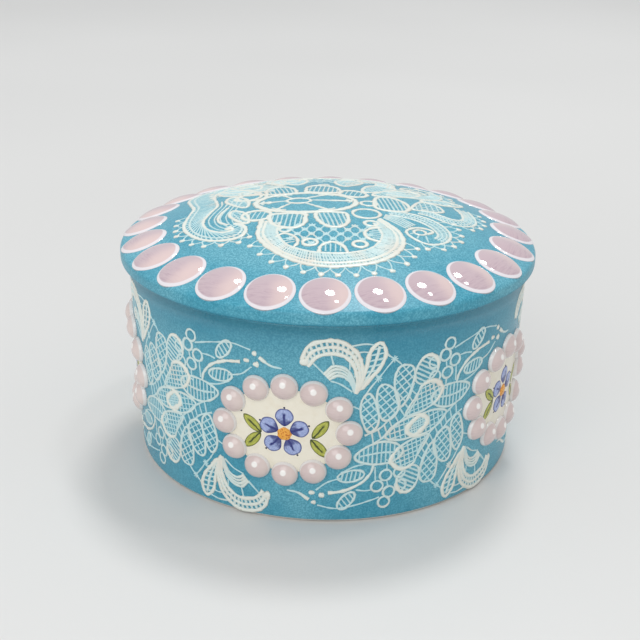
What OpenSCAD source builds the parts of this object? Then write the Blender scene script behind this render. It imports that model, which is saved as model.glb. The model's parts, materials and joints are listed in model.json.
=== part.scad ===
// Round porcelain trinket box: a straight-sided, slightly tapered cup with a loose domed lid,
// both set with raised enamel stones. Origin at the middle of the foot, +Z up.

/* [Body] */
// Radius of the wall where it meets the surface the box stands on
body_foot_r = 46.5; // [38:0.5:56]
// Radius of the wall at the rim
body_top_r = 48.1; // [39:0.1:58]
// Height of the body up to the rim
body_h = 48.5; // [40:0.5:60]
// Thickness of the porcelain wall
wall_t = 3.6; // [2.5:0.1:5]
// Thickness of the floor above the foot recess
floor_t = 3.2; // [2:0.1:5]
// Radius of the curve between the inside wall and the floor
inside_round = 4; // [2:0.5:8]
// Rounding of the outer edge at the foot
foot_round = 1.4; // [0.5:0.1:2.5]
// Width of the unglazed foot ring
foot_ring_w = 2.6; // [1.5:0.1:5]
// Depth of the recess inside the foot ring
foot_recess = 1.5; // [0.5:0.1:3]
// Rounding of the two edges of the rim
rim_round = 0.9; // [0.4:0.1:1.2]

/* [Lid] */
// How far the lid reaches past the rim all round
lid_overhang = 1.9; // [0.5:0.1:4]
// Height of the crown above the rim
lid_rise = 13.3; // [10:0.1:16]
// Thickness of the crown
lid_t = 3.4; // [2.5:0.1:5]
// Radius of the shoulder between the crown and the edge
shoulder_r = 1.4; // [1:0.1:3]
// Height of the upright edge between the lip and the shoulder
edge_h = 1.3; // [0.5:0.1:3]
// Rounding under the edge
lip_r = 0.8; // [0.4:0.1:1.5]
// How deep the locating flange reaches into the body
flange_depth = 4; // [2:0.5:8]
// Thickness of the locating flange
flange_t = 2.4; // [1.5:0.1:4]
// Clearance between the flange and the inside of the wall
flange_gap = 0.5; // [0.3:0.1:1]

/* [Lid stones] */
// Diameter of one cabochon
cabochon_d = 11; // [8:0.1:13]
// Height of a cabochon over the glaze
cabochon_h = 1.2; // [0.8:0.1:3]
// Smallest gap between two cabochons
cabochon_gap = 0.5; // [0.4:0.1:3]
// Distance from the lid's edge to the circle of cabochon centres
cabochon_inset = 5.7; // [5:0.1:9]
// Angle from the first medallion round to the first cabochon
cabochon_turn = 10; // [0:0.5:72]

/* [Medallions] */
// Number of medallions round the body
medallion_n = 5; // [3:1:5]
// Width of the oval that the pearl centres lie on
oval_w = 28; // [22:0.5:32]
// Height of the oval that the pearl centres lie on
oval_h = 21.4; // [18:0.2:24]
// How far the medallions sit below the middle of the wall
medallion_drop = 1.35; // [0:0.05:3]
// Diameter of one pearl
pearl_d = 6.1; // [5:0.1:7]
// Height of a pearl over the glaze
pearl_h = 2.1; // [1:0.1:3]
// Smallest gap between two pearls, along the oval
pearl_gap = 0.35; // [0.3:0.05:1]

/* [Flower] */
// Number of petals
petal_n = 5; // [4:1:6]
// Diameter of a petal
petal_d = 3.9; // [3:0.1:4]
// Distance from the flower's middle to a petal's middle
petal_reach = 3.9; // [3.8:0.1:4.4]
// Diameter of the flower's centre
centre_d = 2.7; // [2:0.1:3.2]
// Length of a leaf
leaf_l = 4.5; // [3.5:0.1:4.6]
// Width of a leaf
leaf_w = 2; // [1.4:0.1:2.4]
// Thickness of the flower's enamel
enamel_t = 0.35; // [0.2:0.05:0.6]
// How far the flower sits below the middle of its medallion
flower_drop = 0.7; // [0:0.1:1]

/* [Hidden] */
$fn = 96;
// segments of the crown's large sphere
CROWN_FN = 480;
// segments of the wall and the lid's edge
ROUND_FN = 180;
// points on a rounded edge of an outline
ARC_STEPS = 6;
// extra length of cutting shapes, so that no face is shared by accident
CUT = 1;
// turns the cone's seam away from the medallions
SEAM_TURN = -72;
// how far the flower's outlines are run in and out before they are cut to the wall
ENAMEL_REACH = 3;
GLAZE = [0.31, 0.60, 0.71];
STONE = [0.86, 0.78, 0.78];
PEARL = [0.80, 0.75, 0.73];
PETAL = [0.52, 0.57, 0.80];
YOLK = [0.89, 0.58, 0.16];
LEAF = [0.58, 0.60, 0.22];

// body
wall_slope = (body_top_r - body_foot_r) / body_h;
floor_z = foot_recess + floor_t;
bore_r = body_top_r - wall_t;
foot_ring_r = body_foot_r - foot_round - foot_ring_w;

// lid
lid_r = body_top_r + lid_overhang;
flange_r = bore_r - flange_gap - wall_slope * flange_depth;
apex_z = body_h + lid_rise;
shoulder_z = body_h + lip_r + edge_h;
shoulder_in = lid_r - shoulder_r;
shoulder_fall = apex_z - shoulder_z;
// sphere that passes through the apex and is tangent to the shoulder
crown_r = (shoulder_in * shoulder_in + shoulder_fall * shoulder_fall - shoulder_r * shoulder_r)
    / (2 * (shoulder_fall - shoulder_r));
crown_z = apex_z - crown_r;
// direction of the shoulder's steepest band under the crown, from level
shoulder_start = atan2(crown_r - shoulder_fall, shoulder_in) - 8;

// stones on the lid
cabochon_ring_r = lid_r - cabochon_inset;
cabochon_n = floor(2 * PI * cabochon_ring_r / (cabochon_d + cabochon_gap));
cabochon_tilt = asin(cabochon_ring_r / crown_r);

// medallions
medallion_z = body_h / 2 - medallion_drop;
oval_a = oval_w / 2;
oval_b = oval_h / 2;
// perimeter of the oval, by Ramanujan's formula
oval_length = PI * (3 * (oval_a + oval_b) - sqrt((3 * oval_a + oval_b) * (oval_a + 3 * oval_b)));
pearl_n = floor(oval_length / (pearl_d + pearl_gap));
// keeps the pearls evenly spaced along the oval, in degrees
oval_ease = (oval_a * oval_a - oval_b * oval_b) / (oval_a * oval_a + oval_b * oval_b) / 4 * 180 / PI;
// the leaves spring from this far to the side of the flower's middle, at this angle
leaf_root = petal_reach + petal_d / 2;
leaf_angle = 50;
// the two leaves of a side start this far above and below the flower's middle
leaf_spread = 0.4;

function cabochon_name(i) = str("cabochon_", i < 10 ? "0" : "", i);
function wall_r(z) = body_foot_r + wall_slope * z;
function arc(c, r, from, to) =
    [for (i = [0:ARC_STEPS]) let (a = from + (to - from) * i / ARC_STEPS) c + r * [cos(a), sin(a)]];
// parameter of the pearl on the oval, in degrees
function pearl_param(i) = let (a = 360 * i / pearl_n) a + oval_ease * sin(2 * a);
// radius of the sphere whose cap is d wide and h high
function cap_r(d, h) = (d * d / 4 + h * h) / (2 * h);

// ---- body ----

module box_body() {
    inner_foot_r = wall_r(floor_z) - wall_t;
    color(GLAZE)
    rotate_extrude()
    polygon(concat(
        [[0, foot_recess], [foot_ring_r, foot_recess], [foot_ring_r, 0]],
        arc([wall_r(foot_round) - foot_round, foot_round], foot_round, -90, 0),
        arc([wall_r(body_h - rim_round) - rim_round, body_h - rim_round], rim_round, 0, 90),
        arc([bore_r + rim_round, body_h - rim_round], rim_round, 90, 180),
        arc([inner_foot_r - inside_round, floor_z + inside_round], inside_round, 0, -90),
        [[0, floor_z]]));
}

// The wall's cone, filled, and grown outward by skin.
module wall_cone(skin = 0) {
    rotate([0, 0, SEAM_TURN])
    translate([0, 0, -CUT])
    cylinder(h = body_h + 2 * CUT, r1 = wall_r(-CUT) + skin, r2 = wall_r(body_h + CUT) + skin, $fn = ROUND_FN);
}

// ---- lid ----

// Outline of the shoulder and the edge, running down from above the crown.
function shoulder_outline() = concat(
    [[0, apex_z + CUT], [lid_r * 0.8, apex_z + CUT]],
    [[shoulder_in, shoulder_z] + shoulder_r * [cos(shoulder_start), sin(shoulder_start)]
        + 9 * [-sin(shoulder_start), cos(shoulder_start)]],
    arc([shoulder_in, shoulder_z], shoulder_r, shoulder_start, 0),
    arc([lid_r - lip_r, body_h + lip_r], lip_r, 0, -90));

// The lid's outer form, filled down to the rim's level.
module lid_form() {
    intersection() {
        translate([0, 0, crown_z]) sphere(r = crown_r, $fn = CROWN_FN);
        rotate_extrude($fn = ROUND_FN) polygon(concat(shoulder_outline(), [[0, body_h]]));
    }
}

module lid() {
    color(GLAZE)
    difference() {
        union() {
            lid_form();
            translate([0, 0, body_h - flange_depth])
            cylinder(h = flange_depth + CUT, r = flange_r, $fn = ROUND_FN);
        }
        intersection() {
            translate([0, 0, crown_z]) sphere(r = crown_r - lid_t, $fn = CROWN_FN);
            translate([0, 0, body_h - flange_depth - CUT])
            cylinder(h = flange_depth + lid_rise + CUT, r = flange_r - flange_t, $fn = ROUND_FN);
        }
    }
}

// One cabochon: a cap of a sphere that stands square to the crown and ends on the glaze.
module cabochon(i) {
    ball_r = cap_r(cabochon_d, cabochon_h);
    color(STONE)
    difference() {
        rotate([0, 0, -90 + cabochon_turn + 360 / cabochon_n * (i - 1)])
        translate([0, 0, crown_z])
        rotate([0, cabochon_tilt, 0])
        translate([0, 0, crown_r])
        intersection() {
            translate([0, 0, cabochon_h - ball_r]) sphere(r = ball_r);
            translate([0, 0, -cabochon_h]) cylinder(h = 3 * cabochon_h, r = cabochon_d);
        }
        translate([0, 0, crown_z]) sphere(r = crown_r, $fn = CROWN_FN);
    }
}

// ---- medallions ----

// Places what is drawn round the origin, facing +Z, on the front of the wall,
// x to the right and z up from the medallion's middle.
module on_wall(x, z) {
    at_z = medallion_z + z;
    rotate([0, 0, x / wall_r(medallion_z) * 180 / PI])
    translate([0, -wall_r(at_z), at_z])
    rotate([90, 0, 0])
    children();
}

// Turns what is drawn on the front of the wall to the place of medallion m.
module at_medallion(m) {
    rotate([0, 0, 360 / medallion_n * (m - 1)]) children();
}

// One pearl: the cap of a ball that stands out of the wall.
module pearl(x, z) {
    ball_r = cap_r(pearl_d, pearl_h);
    difference() {
        on_wall(x, z) translate([0, 0, pearl_h - ball_r]) sphere(r = ball_r, $fn = 42);
        wall_cone();
    }
}

// The ring of pearls of one medallion.
module pearls(m) {
    color(PEARL)
    at_medallion(m)
    for (i = [0:pearl_n - 1])
        pearl(oval_a * cos(pearl_param(i)), oval_b * sin(pearl_param(i)));
}

// A leaf's outline, from its root at the origin along +X.
module leaf_outline() {
    bow_r = cap_r(leaf_l, leaf_w / 2);
    intersection() {
        translate([leaf_l / 2, bow_r - leaf_w / 2]) circle(r = bow_r);
        translate([leaf_l / 2, leaf_w / 2 - bow_r]) circle(r = bow_r);
    }
}

// Keeps what lies in the thin skin of enamel on the wall.
module enamel_skin() {
    difference() {
        intersection() {
            children();
            wall_cone(enamel_t);
        }
        wall_cone();
    }
}

// The petals of the flower, the first one upright.
module petals() {
    for (p = [0:petal_n - 1])
        let (a = 90 + 360 / petal_n * p)
        on_wall(petal_reach * cos(a), petal_reach * sin(a) - flower_drop)
        cylinder(h = 2 * ENAMEL_REACH, d = petal_d, center = true);
}

// Two leaves on each side of the flower.
module leaves() {
    for (side = [0, 180], lean = [-leaf_angle, leaf_angle])
        on_wall(leaf_root * cos(side), leaf_spread * sign(lean) * cos(side) - flower_drop)
        rotate([0, 0, side + lean])
        linear_extrude(2 * ENAMEL_REACH, center = true) leaf_outline();
}

// The painted flower of one medallion: petals, centre and four leaves.
module flower(m) {
    at_medallion(m) {
        color(YOLK) enamel_skin()
        on_wall(0, -flower_drop) cylinder(h = 2 * ENAMEL_REACH, d = centre_d, center = true);
        color(PETAL) enamel_skin() petals();
        color(LEAF) enamel_skin() leaves();
    }
}

box_body();
lid();
for (i = [1:cabochon_n])
    cabochon(i);
for (m = [1:medallion_n])
    pearls(m);
for (m = [1:medallion_n])
    flower(m);
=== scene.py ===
"""The looks of a round porcelain trinket box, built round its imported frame.

Lengths are in metres unless a name ends in _mm. The lace is drawn flat in millimetres: on the wall, x runs
round from a medallion's middle and y is the height above the foot; on the crown, -y points at the front.
"""
from __future__ import annotations

import json
import logging
import math
import sys
from dataclasses import dataclass, field
from enum import Enum
from typing import Any, Callable, Iterable, Sequence

import bmesh
import bpy
import numpy as np
from mathutils import Matrix, Vector

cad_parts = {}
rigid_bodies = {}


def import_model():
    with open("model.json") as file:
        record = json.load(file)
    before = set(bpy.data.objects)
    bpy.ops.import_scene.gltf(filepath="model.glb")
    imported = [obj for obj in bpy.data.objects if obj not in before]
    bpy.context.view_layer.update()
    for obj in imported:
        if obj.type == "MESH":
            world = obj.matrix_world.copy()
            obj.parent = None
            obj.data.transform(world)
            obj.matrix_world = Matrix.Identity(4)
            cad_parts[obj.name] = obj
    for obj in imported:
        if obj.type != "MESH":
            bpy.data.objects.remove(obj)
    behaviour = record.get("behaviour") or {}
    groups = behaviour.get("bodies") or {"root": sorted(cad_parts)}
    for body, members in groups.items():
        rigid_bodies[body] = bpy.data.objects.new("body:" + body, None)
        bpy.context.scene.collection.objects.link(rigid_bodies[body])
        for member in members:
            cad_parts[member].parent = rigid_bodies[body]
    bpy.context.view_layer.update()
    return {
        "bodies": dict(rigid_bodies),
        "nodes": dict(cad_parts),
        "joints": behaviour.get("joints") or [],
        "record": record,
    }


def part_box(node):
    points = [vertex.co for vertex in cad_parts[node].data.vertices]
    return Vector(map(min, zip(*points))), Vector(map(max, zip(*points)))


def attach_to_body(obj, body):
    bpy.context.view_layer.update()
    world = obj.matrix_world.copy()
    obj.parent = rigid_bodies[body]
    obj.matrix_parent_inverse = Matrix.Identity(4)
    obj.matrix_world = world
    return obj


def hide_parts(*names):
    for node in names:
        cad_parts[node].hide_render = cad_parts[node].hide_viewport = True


MM = 0.001
LOG = logging.getLogger("trinket_box")
WALL_DRAWING_RADIUS = 0.048
LACE_THREADS = {"Waver": 0.00028, "Crest": 0.00026, "Root": 0.0001, "Turn": 0.0}

Point = tuple[float, float]
Colour = tuple[float, float, float]
Socket = bpy.types.NodeSocket
Sockets = dict[str, Socket]
Material = bpy.types.Material
Piece = bpy.types.Object
Shape = bmesh.types.BMesh


# ---------------------------------------------------------------- node trees

class Nodes:
    """A short hand for building a node tree."""

    def __init__(self, tree: bpy.types.NodeTree) -> None:
        """Keeps the tree that nodes are added to."""
        self.tree = tree

    def add(self, kind: str, feeds: dict[Any, Any] | None = None, **settings: Any) -> bpy.types.Node:
        """Adds a node.

        Args:
            kind: the node's type name.
            feeds: socket name or index to a plain value or to another node's output.
            settings: the node's own properties.

        Returns:
            The new node.
        """
        node = self.tree.nodes.new(kind)
        for name, value in settings.items():
            setattr(node, name, value)
        for key, value in (feeds or {}).items():
            self.feed(node.inputs[key], value)
        return node

    def feed(self, socket: Socket, value: Any) -> None:
        """Links an output to the socket, or sets the socket's own value.

        Args:
            socket: the input that is fed.
            value: an output, or a plain value.
        """
        if isinstance(value, Socket):
            self.tree.links.new(value, socket)
        else:
            socket.default_value = value

    def math(self, operation: str, *values: Any) -> Socket:
        """A Math node's result for the given operation and operands."""
        node = self.add("ShaderNodeMath", dict(enumerate(values)), operation=operation)
        return node.outputs[0]

    def plus(self, first: Any, second: Any) -> Socket:
        """The sum of two values."""
        return self.math("ADD", first, second)

    def minus(self, first: Any, second: Any) -> Socket:
        """One value less another."""
        return self.math("SUBTRACT", first, second)

    def times(self, first: Any, second: Any) -> Socket:
        """The product of two values."""
        return self.math("MULTIPLY", first, second)

    def vector(self, operation: str, *values: Any) -> Socket:
        """A Vector Math node's vector result.

        Args:
            operation: the node's operation.
            values: its operands; the second of SCALE is a number.

        Returns:
            The vector output.
        """
        node = self.add("ShaderNodeVectorMath", operation=operation)
        for index, value in enumerate(values):
            key = 3 if operation == "SCALE" and index == 1 else index
            self.feed(node.inputs[key], value)
        return node.outputs[0]

    def split(self, vector: Socket) -> list[Socket]:
        """The x, y and z of a vector."""
        return list(self.add("ShaderNodeSeparateXYZ", {0: vector}).outputs)

    def join(self, x: Any, y: Any, z: Any) -> Socket:
        """A vector of three values."""
        return self.add("ShaderNodeCombineXYZ", {0: x, 1: y, 2: z}).outputs[0]

    def span(self, value: Any, low: float, high: float, start: float = 0.0, stop: float = 1.0) -> Socket:
        """Maps value from low..high to start..stop with soft ends."""
        feeds = {"Value": value, "From Min": low, "From Max": high, "To Min": start, "To Max": stop}
        return self.add("ShaderNodeMapRange", feeds, interpolation_type="SMOOTHSTEP").outputs[0]

    def noise(self, vector: Any, scale: float, detail: float = 2.0, roughness: float = 0.5,
              distortion: float = 0.0) -> bpy.types.Node:
        """A noise texture over the given coordinates.

        Args:
            vector: the coordinates it is read at.
            scale: how fine it is.
            detail: how many octaves it has.
            roughness: how strong the finer octaves are.
            distortion: how much it is warped.

        Returns:
            The noise node.
        """
        feeds = {"Vector": vector, "Scale": scale, "Detail": detail, "Roughness": roughness,
                 "Distortion": distortion}
        return self.add("ShaderNodeTexNoise", feeds)

    def blend(self, factor: Any, first: Any, second: Any) -> Socket:
        """Mixes two colours, each a colour or an output, by a factor from 0 (first) to 1 (second).

        Args:
            factor: the share of the second colour.
            first: a colour or an output.
            second: a colour or an output.

        Returns:
            The mixed colour.
        """
        node = self.add("ShaderNodeMix", {0: factor}, data_type="RGBA")
        for key, value in ((6, first), (7, second)):
            self.feed(node.inputs[key], (*value, 1.0) if isinstance(value, tuple) else value)
        return node.outputs[2]

    def place(self) -> Socket:
        """The place in the piece's own coordinates."""
        return self.add("ShaderNodeTexCoord").outputs["Object"]

    def unit(self) -> Socket:
        """The place on a drop's unit map, from -1 to 1 both ways."""
        flat = self.add("ShaderNodeTexCoord").outputs["UV"]
        return self.vector("SCALE", self.vector("SUBTRACT", flat, (0.5, 0.5, 0.0)), 2.0)

    def relief(self, bsdf: bpy.types.Node, height: Any, strength: float, depth: float) -> None:
        """Bumps a shader's surface by a height pattern, with a strength and a depth in metres."""
        bump = self.add("ShaderNodeBump", {"Height": height, "Strength": strength, "Distance": depth})
        self.feed(bsdf.inputs["Normal"], bump.outputs[0])


# ---------------------------------------------------------------- finishes

def shader(name: str) -> tuple[Material, Nodes, bpy.types.Node]:
    """Makes a material with one Principled shader.

    Args:
        name: the material's name.

    Returns:
        The material, its nodes and its shader.
    """
    material = bpy.data.materials.new(name)
    material.use_nodes = True
    return material, Nodes(material.node_tree), material.node_tree.nodes["Principled BSDF"]


@dataclass(frozen=True)
class BlueGlaze:
    """Sponged blue glaze with a dark band at one height, partly glaze pooling and partly painted shade, and a
    thin pale band at another.
    """

    name: str
    deep: Colour = (0.010, 0.180, 0.280)
    blue: Colour = (0.066, 0.345, 0.470)
    pale: Colour = (0.160, 0.480, 0.590)
    pool_and_shade_z: float = 0.0485
    pool_and_shade_reach: float = 0.006
    pool_and_shade_depth: float = 0.55
    pale_band_z: float = 0.0
    pale_band_reach: float = 0.0004
    fleck_scale: float = 2600.0
    cloud_scale: float = 38.0
    roughness: float = 0.30
    gloss: float = 0.5

    def material(self) -> Material:
        """Builds the glaze: clouds, sponge flecks, a dark band of pooling and painted shade, and a thin pale
        band.
        """
        material, nodes, bsdf = shader(self.name)
        place = nodes.place()
        clouds = nodes.noise(place, self.cloud_scale, 3.0, 0.55, 0.4).outputs[0]
        sponge = nodes.noise(place, self.fleck_scale, 3.0, 0.6).outputs[0]
        blots = nodes.noise(place, self.fleck_scale / 5, 2.0, 0.5, 0.6).outputs[0]
        colour = nodes.blend(nodes.span(clouds, 0.3, 0.72), self.blue, self.pale)
        flecks = nodes.times(nodes.span(sponge, 0.42, 0.62), 0.95)
        colour = nodes.blend(flecks, nodes.blend(0.55, colour, self.deep), colour)
        colour = nodes.blend(nodes.times(nodes.span(blots, 0.55, 0.75), 0.28), colour, self.pale)
        height = nodes.split(place)[2]
        # Painted shade: the glaze darkens towards one height, such as the cup's top under the lid and the
        # lid's lip, with some glaze pooling.
        away = nodes.math("ABSOLUTE", nodes.minus(height, self.pool_and_shade_z))
        pooled_and_shaded = nodes.span(away, self.pool_and_shade_reach, 0.0, 0.0, self.pool_and_shade_depth)
        colour = nodes.blend(pooled_and_shaded, colour, self.deep)
        # A thin paler band at one height, on the rim's round just under the lid.
        if self.pale_band_z:
            off = nodes.math("ABSOLUTE", nodes.minus(height, self.pale_band_z))
            colour = nodes.blend(nodes.span(off, self.pale_band_reach, 0.0, 0.0, 0.75), colour,
                                 (0.55, 0.68, 0.70))
        nodes.feed(bsdf.inputs["Base Color"], colour)
        bsdf.inputs["IOR"].default_value = 1.52
        bsdf.inputs["Specular IOR Level"].default_value = self.gloss
        sheen = nodes.span(clouds, 0.3, 0.7, self.roughness * 0.8, self.roughness * 1.5)
        nodes.feed(bsdf.inputs["Roughness"], sheen)
        skin = nodes.plus(nodes.noise(place, 420.0, 2.0).outputs[0], nodes.times(sponge, 0.25))
        nodes.relief(bsdf, skin, 0.10, 0.0002)
        return material


@dataclass(frozen=True)
class PlainPorcelain:
    """White porcelain, glazed or bare, with the faint specks and pulls of a fired surface."""

    name: str
    base: Colour = (0.80, 0.79, 0.75)
    shade: Colour = (0.66, 0.66, 0.62)
    speck: Colour = (0.36, 0.32, 0.26)
    roughness: float = 0.12
    bump: float = 0.08

    def material(self) -> Material:
        """Builds the porcelain."""
        material, nodes, bsdf = shader(self.name)
        place = nodes.place()
        clouds = nodes.noise(place, 45.0, 4.0).outputs[0]
        specks = nodes.noise(place, 1300.0, 1.0).outputs[0]
        colour = nodes.blend(nodes.span(clouds, 0.35, 0.75), self.base, self.shade)
        colour = nodes.blend(nodes.span(specks, 0.74, 0.80, 0.0, 0.5), colour, self.speck)
        nodes.feed(bsdf.inputs["Base Color"], colour)
        nodes.feed(bsdf.inputs["Roughness"],
                   nodes.span(clouds, 0.3, 0.7, self.roughness, self.roughness * 1.3))
        grain = nodes.noise(place, 900.0, 3.0).outputs[0]
        nodes.relief(bsdf, grain, self.bump, 0.0003)
        return material


def bare_clay(name: str) -> PlainPorcelain:
    """Unglazed porcelain, warmer and rougher, for where a piece stands or rests."""
    return PlainPorcelain(name, base=(0.74, 0.71, 0.65), shade=(0.62, 0.58, 0.51), roughness=0.55,
                          bump=0.35)


@dataclass(frozen=True)
class LaceEnamel:
    """Ivory enamel whose thin threads let the blue through."""

    name: str = "lace_enamel"
    thin: Colour = (0.50, 0.73, 0.76)
    thick: Colour = (0.78, 0.81, 0.74)
    warm: Colour = (0.77, 0.71, 0.62)
    thin_width: float = 0.00035
    thick_width: float = 0.00095

    def material(self) -> Material:
        """Builds the enamel, coloured by the width each thread was drawn with."""
        material, nodes, bsdf = shader(self.name)
        place = nodes.place()
        width = nodes.add("ShaderNodeAttribute", attribute_name="width").outputs["Fac"]
        tones = nodes.noise(place, 150.0, 3.0).outputs[0]
        colour = nodes.blend(nodes.span(width, self.thin_width, self.thick_width), self.thin, self.thick)
        colour = nodes.blend(nodes.span(tones, 0.48, 0.72, 0.0, 0.55), colour, self.warm)
        nodes.feed(bsdf.inputs["Base Color"], colour)
        bsdf.inputs["Roughness"].default_value = 0.28
        lumps = nodes.noise(place, 1100.0, 2.0).outputs[0]
        nodes.relief(bsdf, lumps, 0.22, 0.0002)
        return material


@dataclass(frozen=True)
class StoneEnamel:
    """Glossy raised enamel with a pale outline, read from the stone's own unit map."""

    name: str
    body: Colour
    streak: Colour
    # colour of the creamier side, partly the enamel's own tint and partly painted light
    cream: Colour
    outline: Colour
    outline_from: float
    streak_depth: float
    dot: Point | None = None
    dot_radius: float = 0.12
    roughness: float = 0.06

    def material(self) -> Material:
        """Builds the enamel: brush streaks, a creamier side that is partly its own tint and partly painted
        light, the outline, a thin painted shadow at its foot and a painted light.
        """
        material, nodes, bsdf = shader(self.name)
        local = nodes.unit()
        across, along, _ = nodes.split(local)
        place = nodes.place()
        reach = nodes.add("ShaderNodeVectorMath", {0: local}, operation="LENGTH").outputs["Value"]
        drift = nodes.noise(place, 160.0, 2.0).outputs[0]
        brushed = nodes.join(nodes.times(across, 0.8), nodes.times(along, 5.5), drift)
        streaks = nodes.noise(brushed, 2.4, 3.0, 0.6, 0.3).outputs[0]
        low = nodes.span(nodes.plus(along, nodes.times(across, 0.5)), 0.45, -0.45)
        strength = nodes.times(nodes.span(streaks, 0.42, 0.74), nodes.times(low, self.streak_depth))
        colour = nodes.blend(strength, self.body, self.streak)
        # The creamier, lighter side is partly the enamel's own tint and partly painted light.
        side = nodes.span(nodes.plus(across, nodes.times(drift, 0.6)), 0.15, 1.05, 0.0, 0.85)
        colour = nodes.blend(side, colour, self.cream)
        edge = nodes.plus(reach, nodes.times(nodes.minus(drift, 0.5), 0.10))
        colour = nodes.blend(nodes.span(edge, self.outline_from, self.outline_from + 0.06, 0.0, 0.9),
                             colour, self.outline)
        # Painted shadow: a thin dark line round the stone's foot where it meets the glaze.
        colour = nodes.blend(nodes.span(reach, 0.985, 1.0, 0.0, 0.75), colour, (0.16, 0.22, 0.26))
        if self.dot:
            off = nodes.vector("SUBTRACT", local, (*self.dot, 0.0))
            away = nodes.add("ShaderNodeVectorMath", {0: off}, operation="LENGTH").outputs["Value"]
            colour = nodes.blend(nodes.span(away, self.dot_radius * 1.8, self.dot_radius), colour,
                                 (0.93, 0.91, 0.88))
        nodes.feed(bsdf.inputs["Base Color"], colour)
        bsdf.inputs["Roughness"].default_value = self.roughness
        bsdf.inputs["Coat Weight"].default_value = 0.5
        bsdf.inputs["Coat Roughness"].default_value = 0.03
        nodes.relief(bsdf, drift, 0.04, 0.0006)
        return material


@dataclass(frozen=True)
class BrushEnamel:
    """Painted enamel for a petal or a leaf: dark root, dark vein and outline, brushed body."""

    name: str
    body: Colour
    light: Colour
    dark: Colour
    root: float
    vein: float
    outline: float

    def material(self) -> Material:
        """Builds the enamel from the piece's unit map, whose x runs from root to tip."""
        material, nodes, bsdf = shader(self.name)
        place = nodes.place()
        local = nodes.unit()
        along, across, _ = nodes.split(local)
        wander = nodes.minus(nodes.noise(place, 900.0, 2.0).outputs[0], 0.5)
        brushed = nodes.join(nodes.times(along, 1.2), nodes.times(across, 7.0), 0.0)
        hairs = nodes.noise(brushed, 2.0, 3.0).outputs[0]
        colour = nodes.blend(nodes.span(hairs, 0.35, 0.68), self.body, self.light)
        rooted = nodes.span(nodes.plus(along, nodes.times(wander, 1.2)), self.root, self.root - 0.45)
        colour = nodes.blend(nodes.times(rooted, 0.85), colour, self.dark)
        aside = nodes.math("ABSOLUTE", nodes.plus(across, nodes.times(wander, 0.35)))
        veined = nodes.times(nodes.span(aside, self.vein, self.vein * 0.35), nodes.span(along, 0.55, 0.25))
        colour = nodes.blend(veined, colour, self.dark)
        reach = nodes.add("ShaderNodeUVMap", uv_map="rim").outputs[0]
        edge = nodes.split(reach)[0]
        colour = nodes.blend(nodes.span(edge, self.outline, self.outline + 0.10, 0.0, 0.8), colour,
                             self.dark)
        nodes.feed(bsdf.inputs["Base Color"], colour)
        bsdf.inputs["Roughness"].default_value = 0.22
        nodes.relief(bsdf, hairs, 0.25, 0.0002)
        return material


@dataclass(frozen=True)
class SpottedEnamel:
    """Enamel in one tone spotted with another, such as the flower's stippled centre."""

    name: str
    body: Colour
    spot: Colour
    scale: float
    low: float = 0.5
    high: float = 0.62
    roughness: float = 0.25

    def material(self) -> Material:
        """Builds the enamel."""
        material, nodes, bsdf = shader(self.name)
        place = nodes.place()
        spots = nodes.noise(place, self.scale, 2.0).outputs[0]
        nodes.feed(bsdf.inputs["Base Color"],
                   nodes.blend(nodes.span(spots, self.low, self.high), self.body, self.spot))
        bsdf.inputs["Roughness"].default_value = self.roughness
        nodes.relief(bsdf, spots, 0.3, 0.0002)
        return material


# ---------------------------------------------------------------- porcelain forms

def arc(centre: Point, radius: float, start: float, stop: float, steps: int) -> list[Point]:
    """Points on an arc, with angles in degrees.

    Args:
        centre: middle of the arc.
        radius: its radius.
        start: where it starts.
        stop: where it ends.
        steps: number of straight pieces.

    Returns:
        The points, ends included.
    """
    turns = [math.radians(start + (stop - start) * i / steps) for i in range(steps + 1)]
    return [(centre[0] + radius * math.cos(t), centre[1] + radius * math.sin(t)) for t in turns]


@dataclass(frozen=True)
class WallForm:
    """The body's outer wall, a cone that widens a little from foot to rim."""

    top_radius: float
    height: float
    foot_radius: float = 0.0465

    @property
    def slope(self) -> float:
        """How much the radius grows per metre of height."""
        return (self.top_radius - self.foot_radius) / self.height

    def radius(self, z: float) -> float:
        """The wall's radius at height z."""
        return self.foot_radius + self.slope * z


@dataclass(frozen=True)
class CrownForm:
    """The lid's outer form: a shallow crown, a tight shoulder and a small lip over the rim."""

    edge_radius: float
    rim_z: float
    apex_z: float
    shoulder: float = 0.0014
    lip: float = 0.0008
    edge_height: float = 0.0013

    @property
    def shoulder_z(self) -> float:
        """Height of the middle of the shoulder's rounding."""
        return self.rim_z + self.lip + self.edge_height

    @property
    def ball(self) -> float:
        """Radius of the sphere that the crown is a cap of."""
        inner, fall = self.edge_radius - self.shoulder, self.apex_z - self.shoulder_z
        return (inner**2 + fall**2 - self.shoulder**2) / (2 * (fall - self.shoulder))

    @property
    def ball_z(self) -> float:
        """Height of that sphere's centre, below the box."""
        return self.apex_z - self.ball

    @property
    def shoulder_angle(self) -> float:
        """Where the crown passes into the shoulder, in degrees above level."""
        fall = self.apex_z - self.shoulder_z
        return math.degrees(math.atan2(self.ball - fall, self.edge_radius - self.shoulder))


# ---------------------------------------------------------------- meshes

def mesh_object(name: str, mesh: bpy.types.Mesh) -> Piece:
    """Links a mesh into the scene as an object at the origin."""
    piece = bpy.data.objects.new(name, mesh)
    bpy.context.scene.collection.objects.link(piece)
    return piece


class Coat(Enum):
    """What covers a stretch of the porcelain; the value is its place in the piece's finishes."""

    BLUE = 0
    WHITE = 1
    BARE = 2


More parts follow.
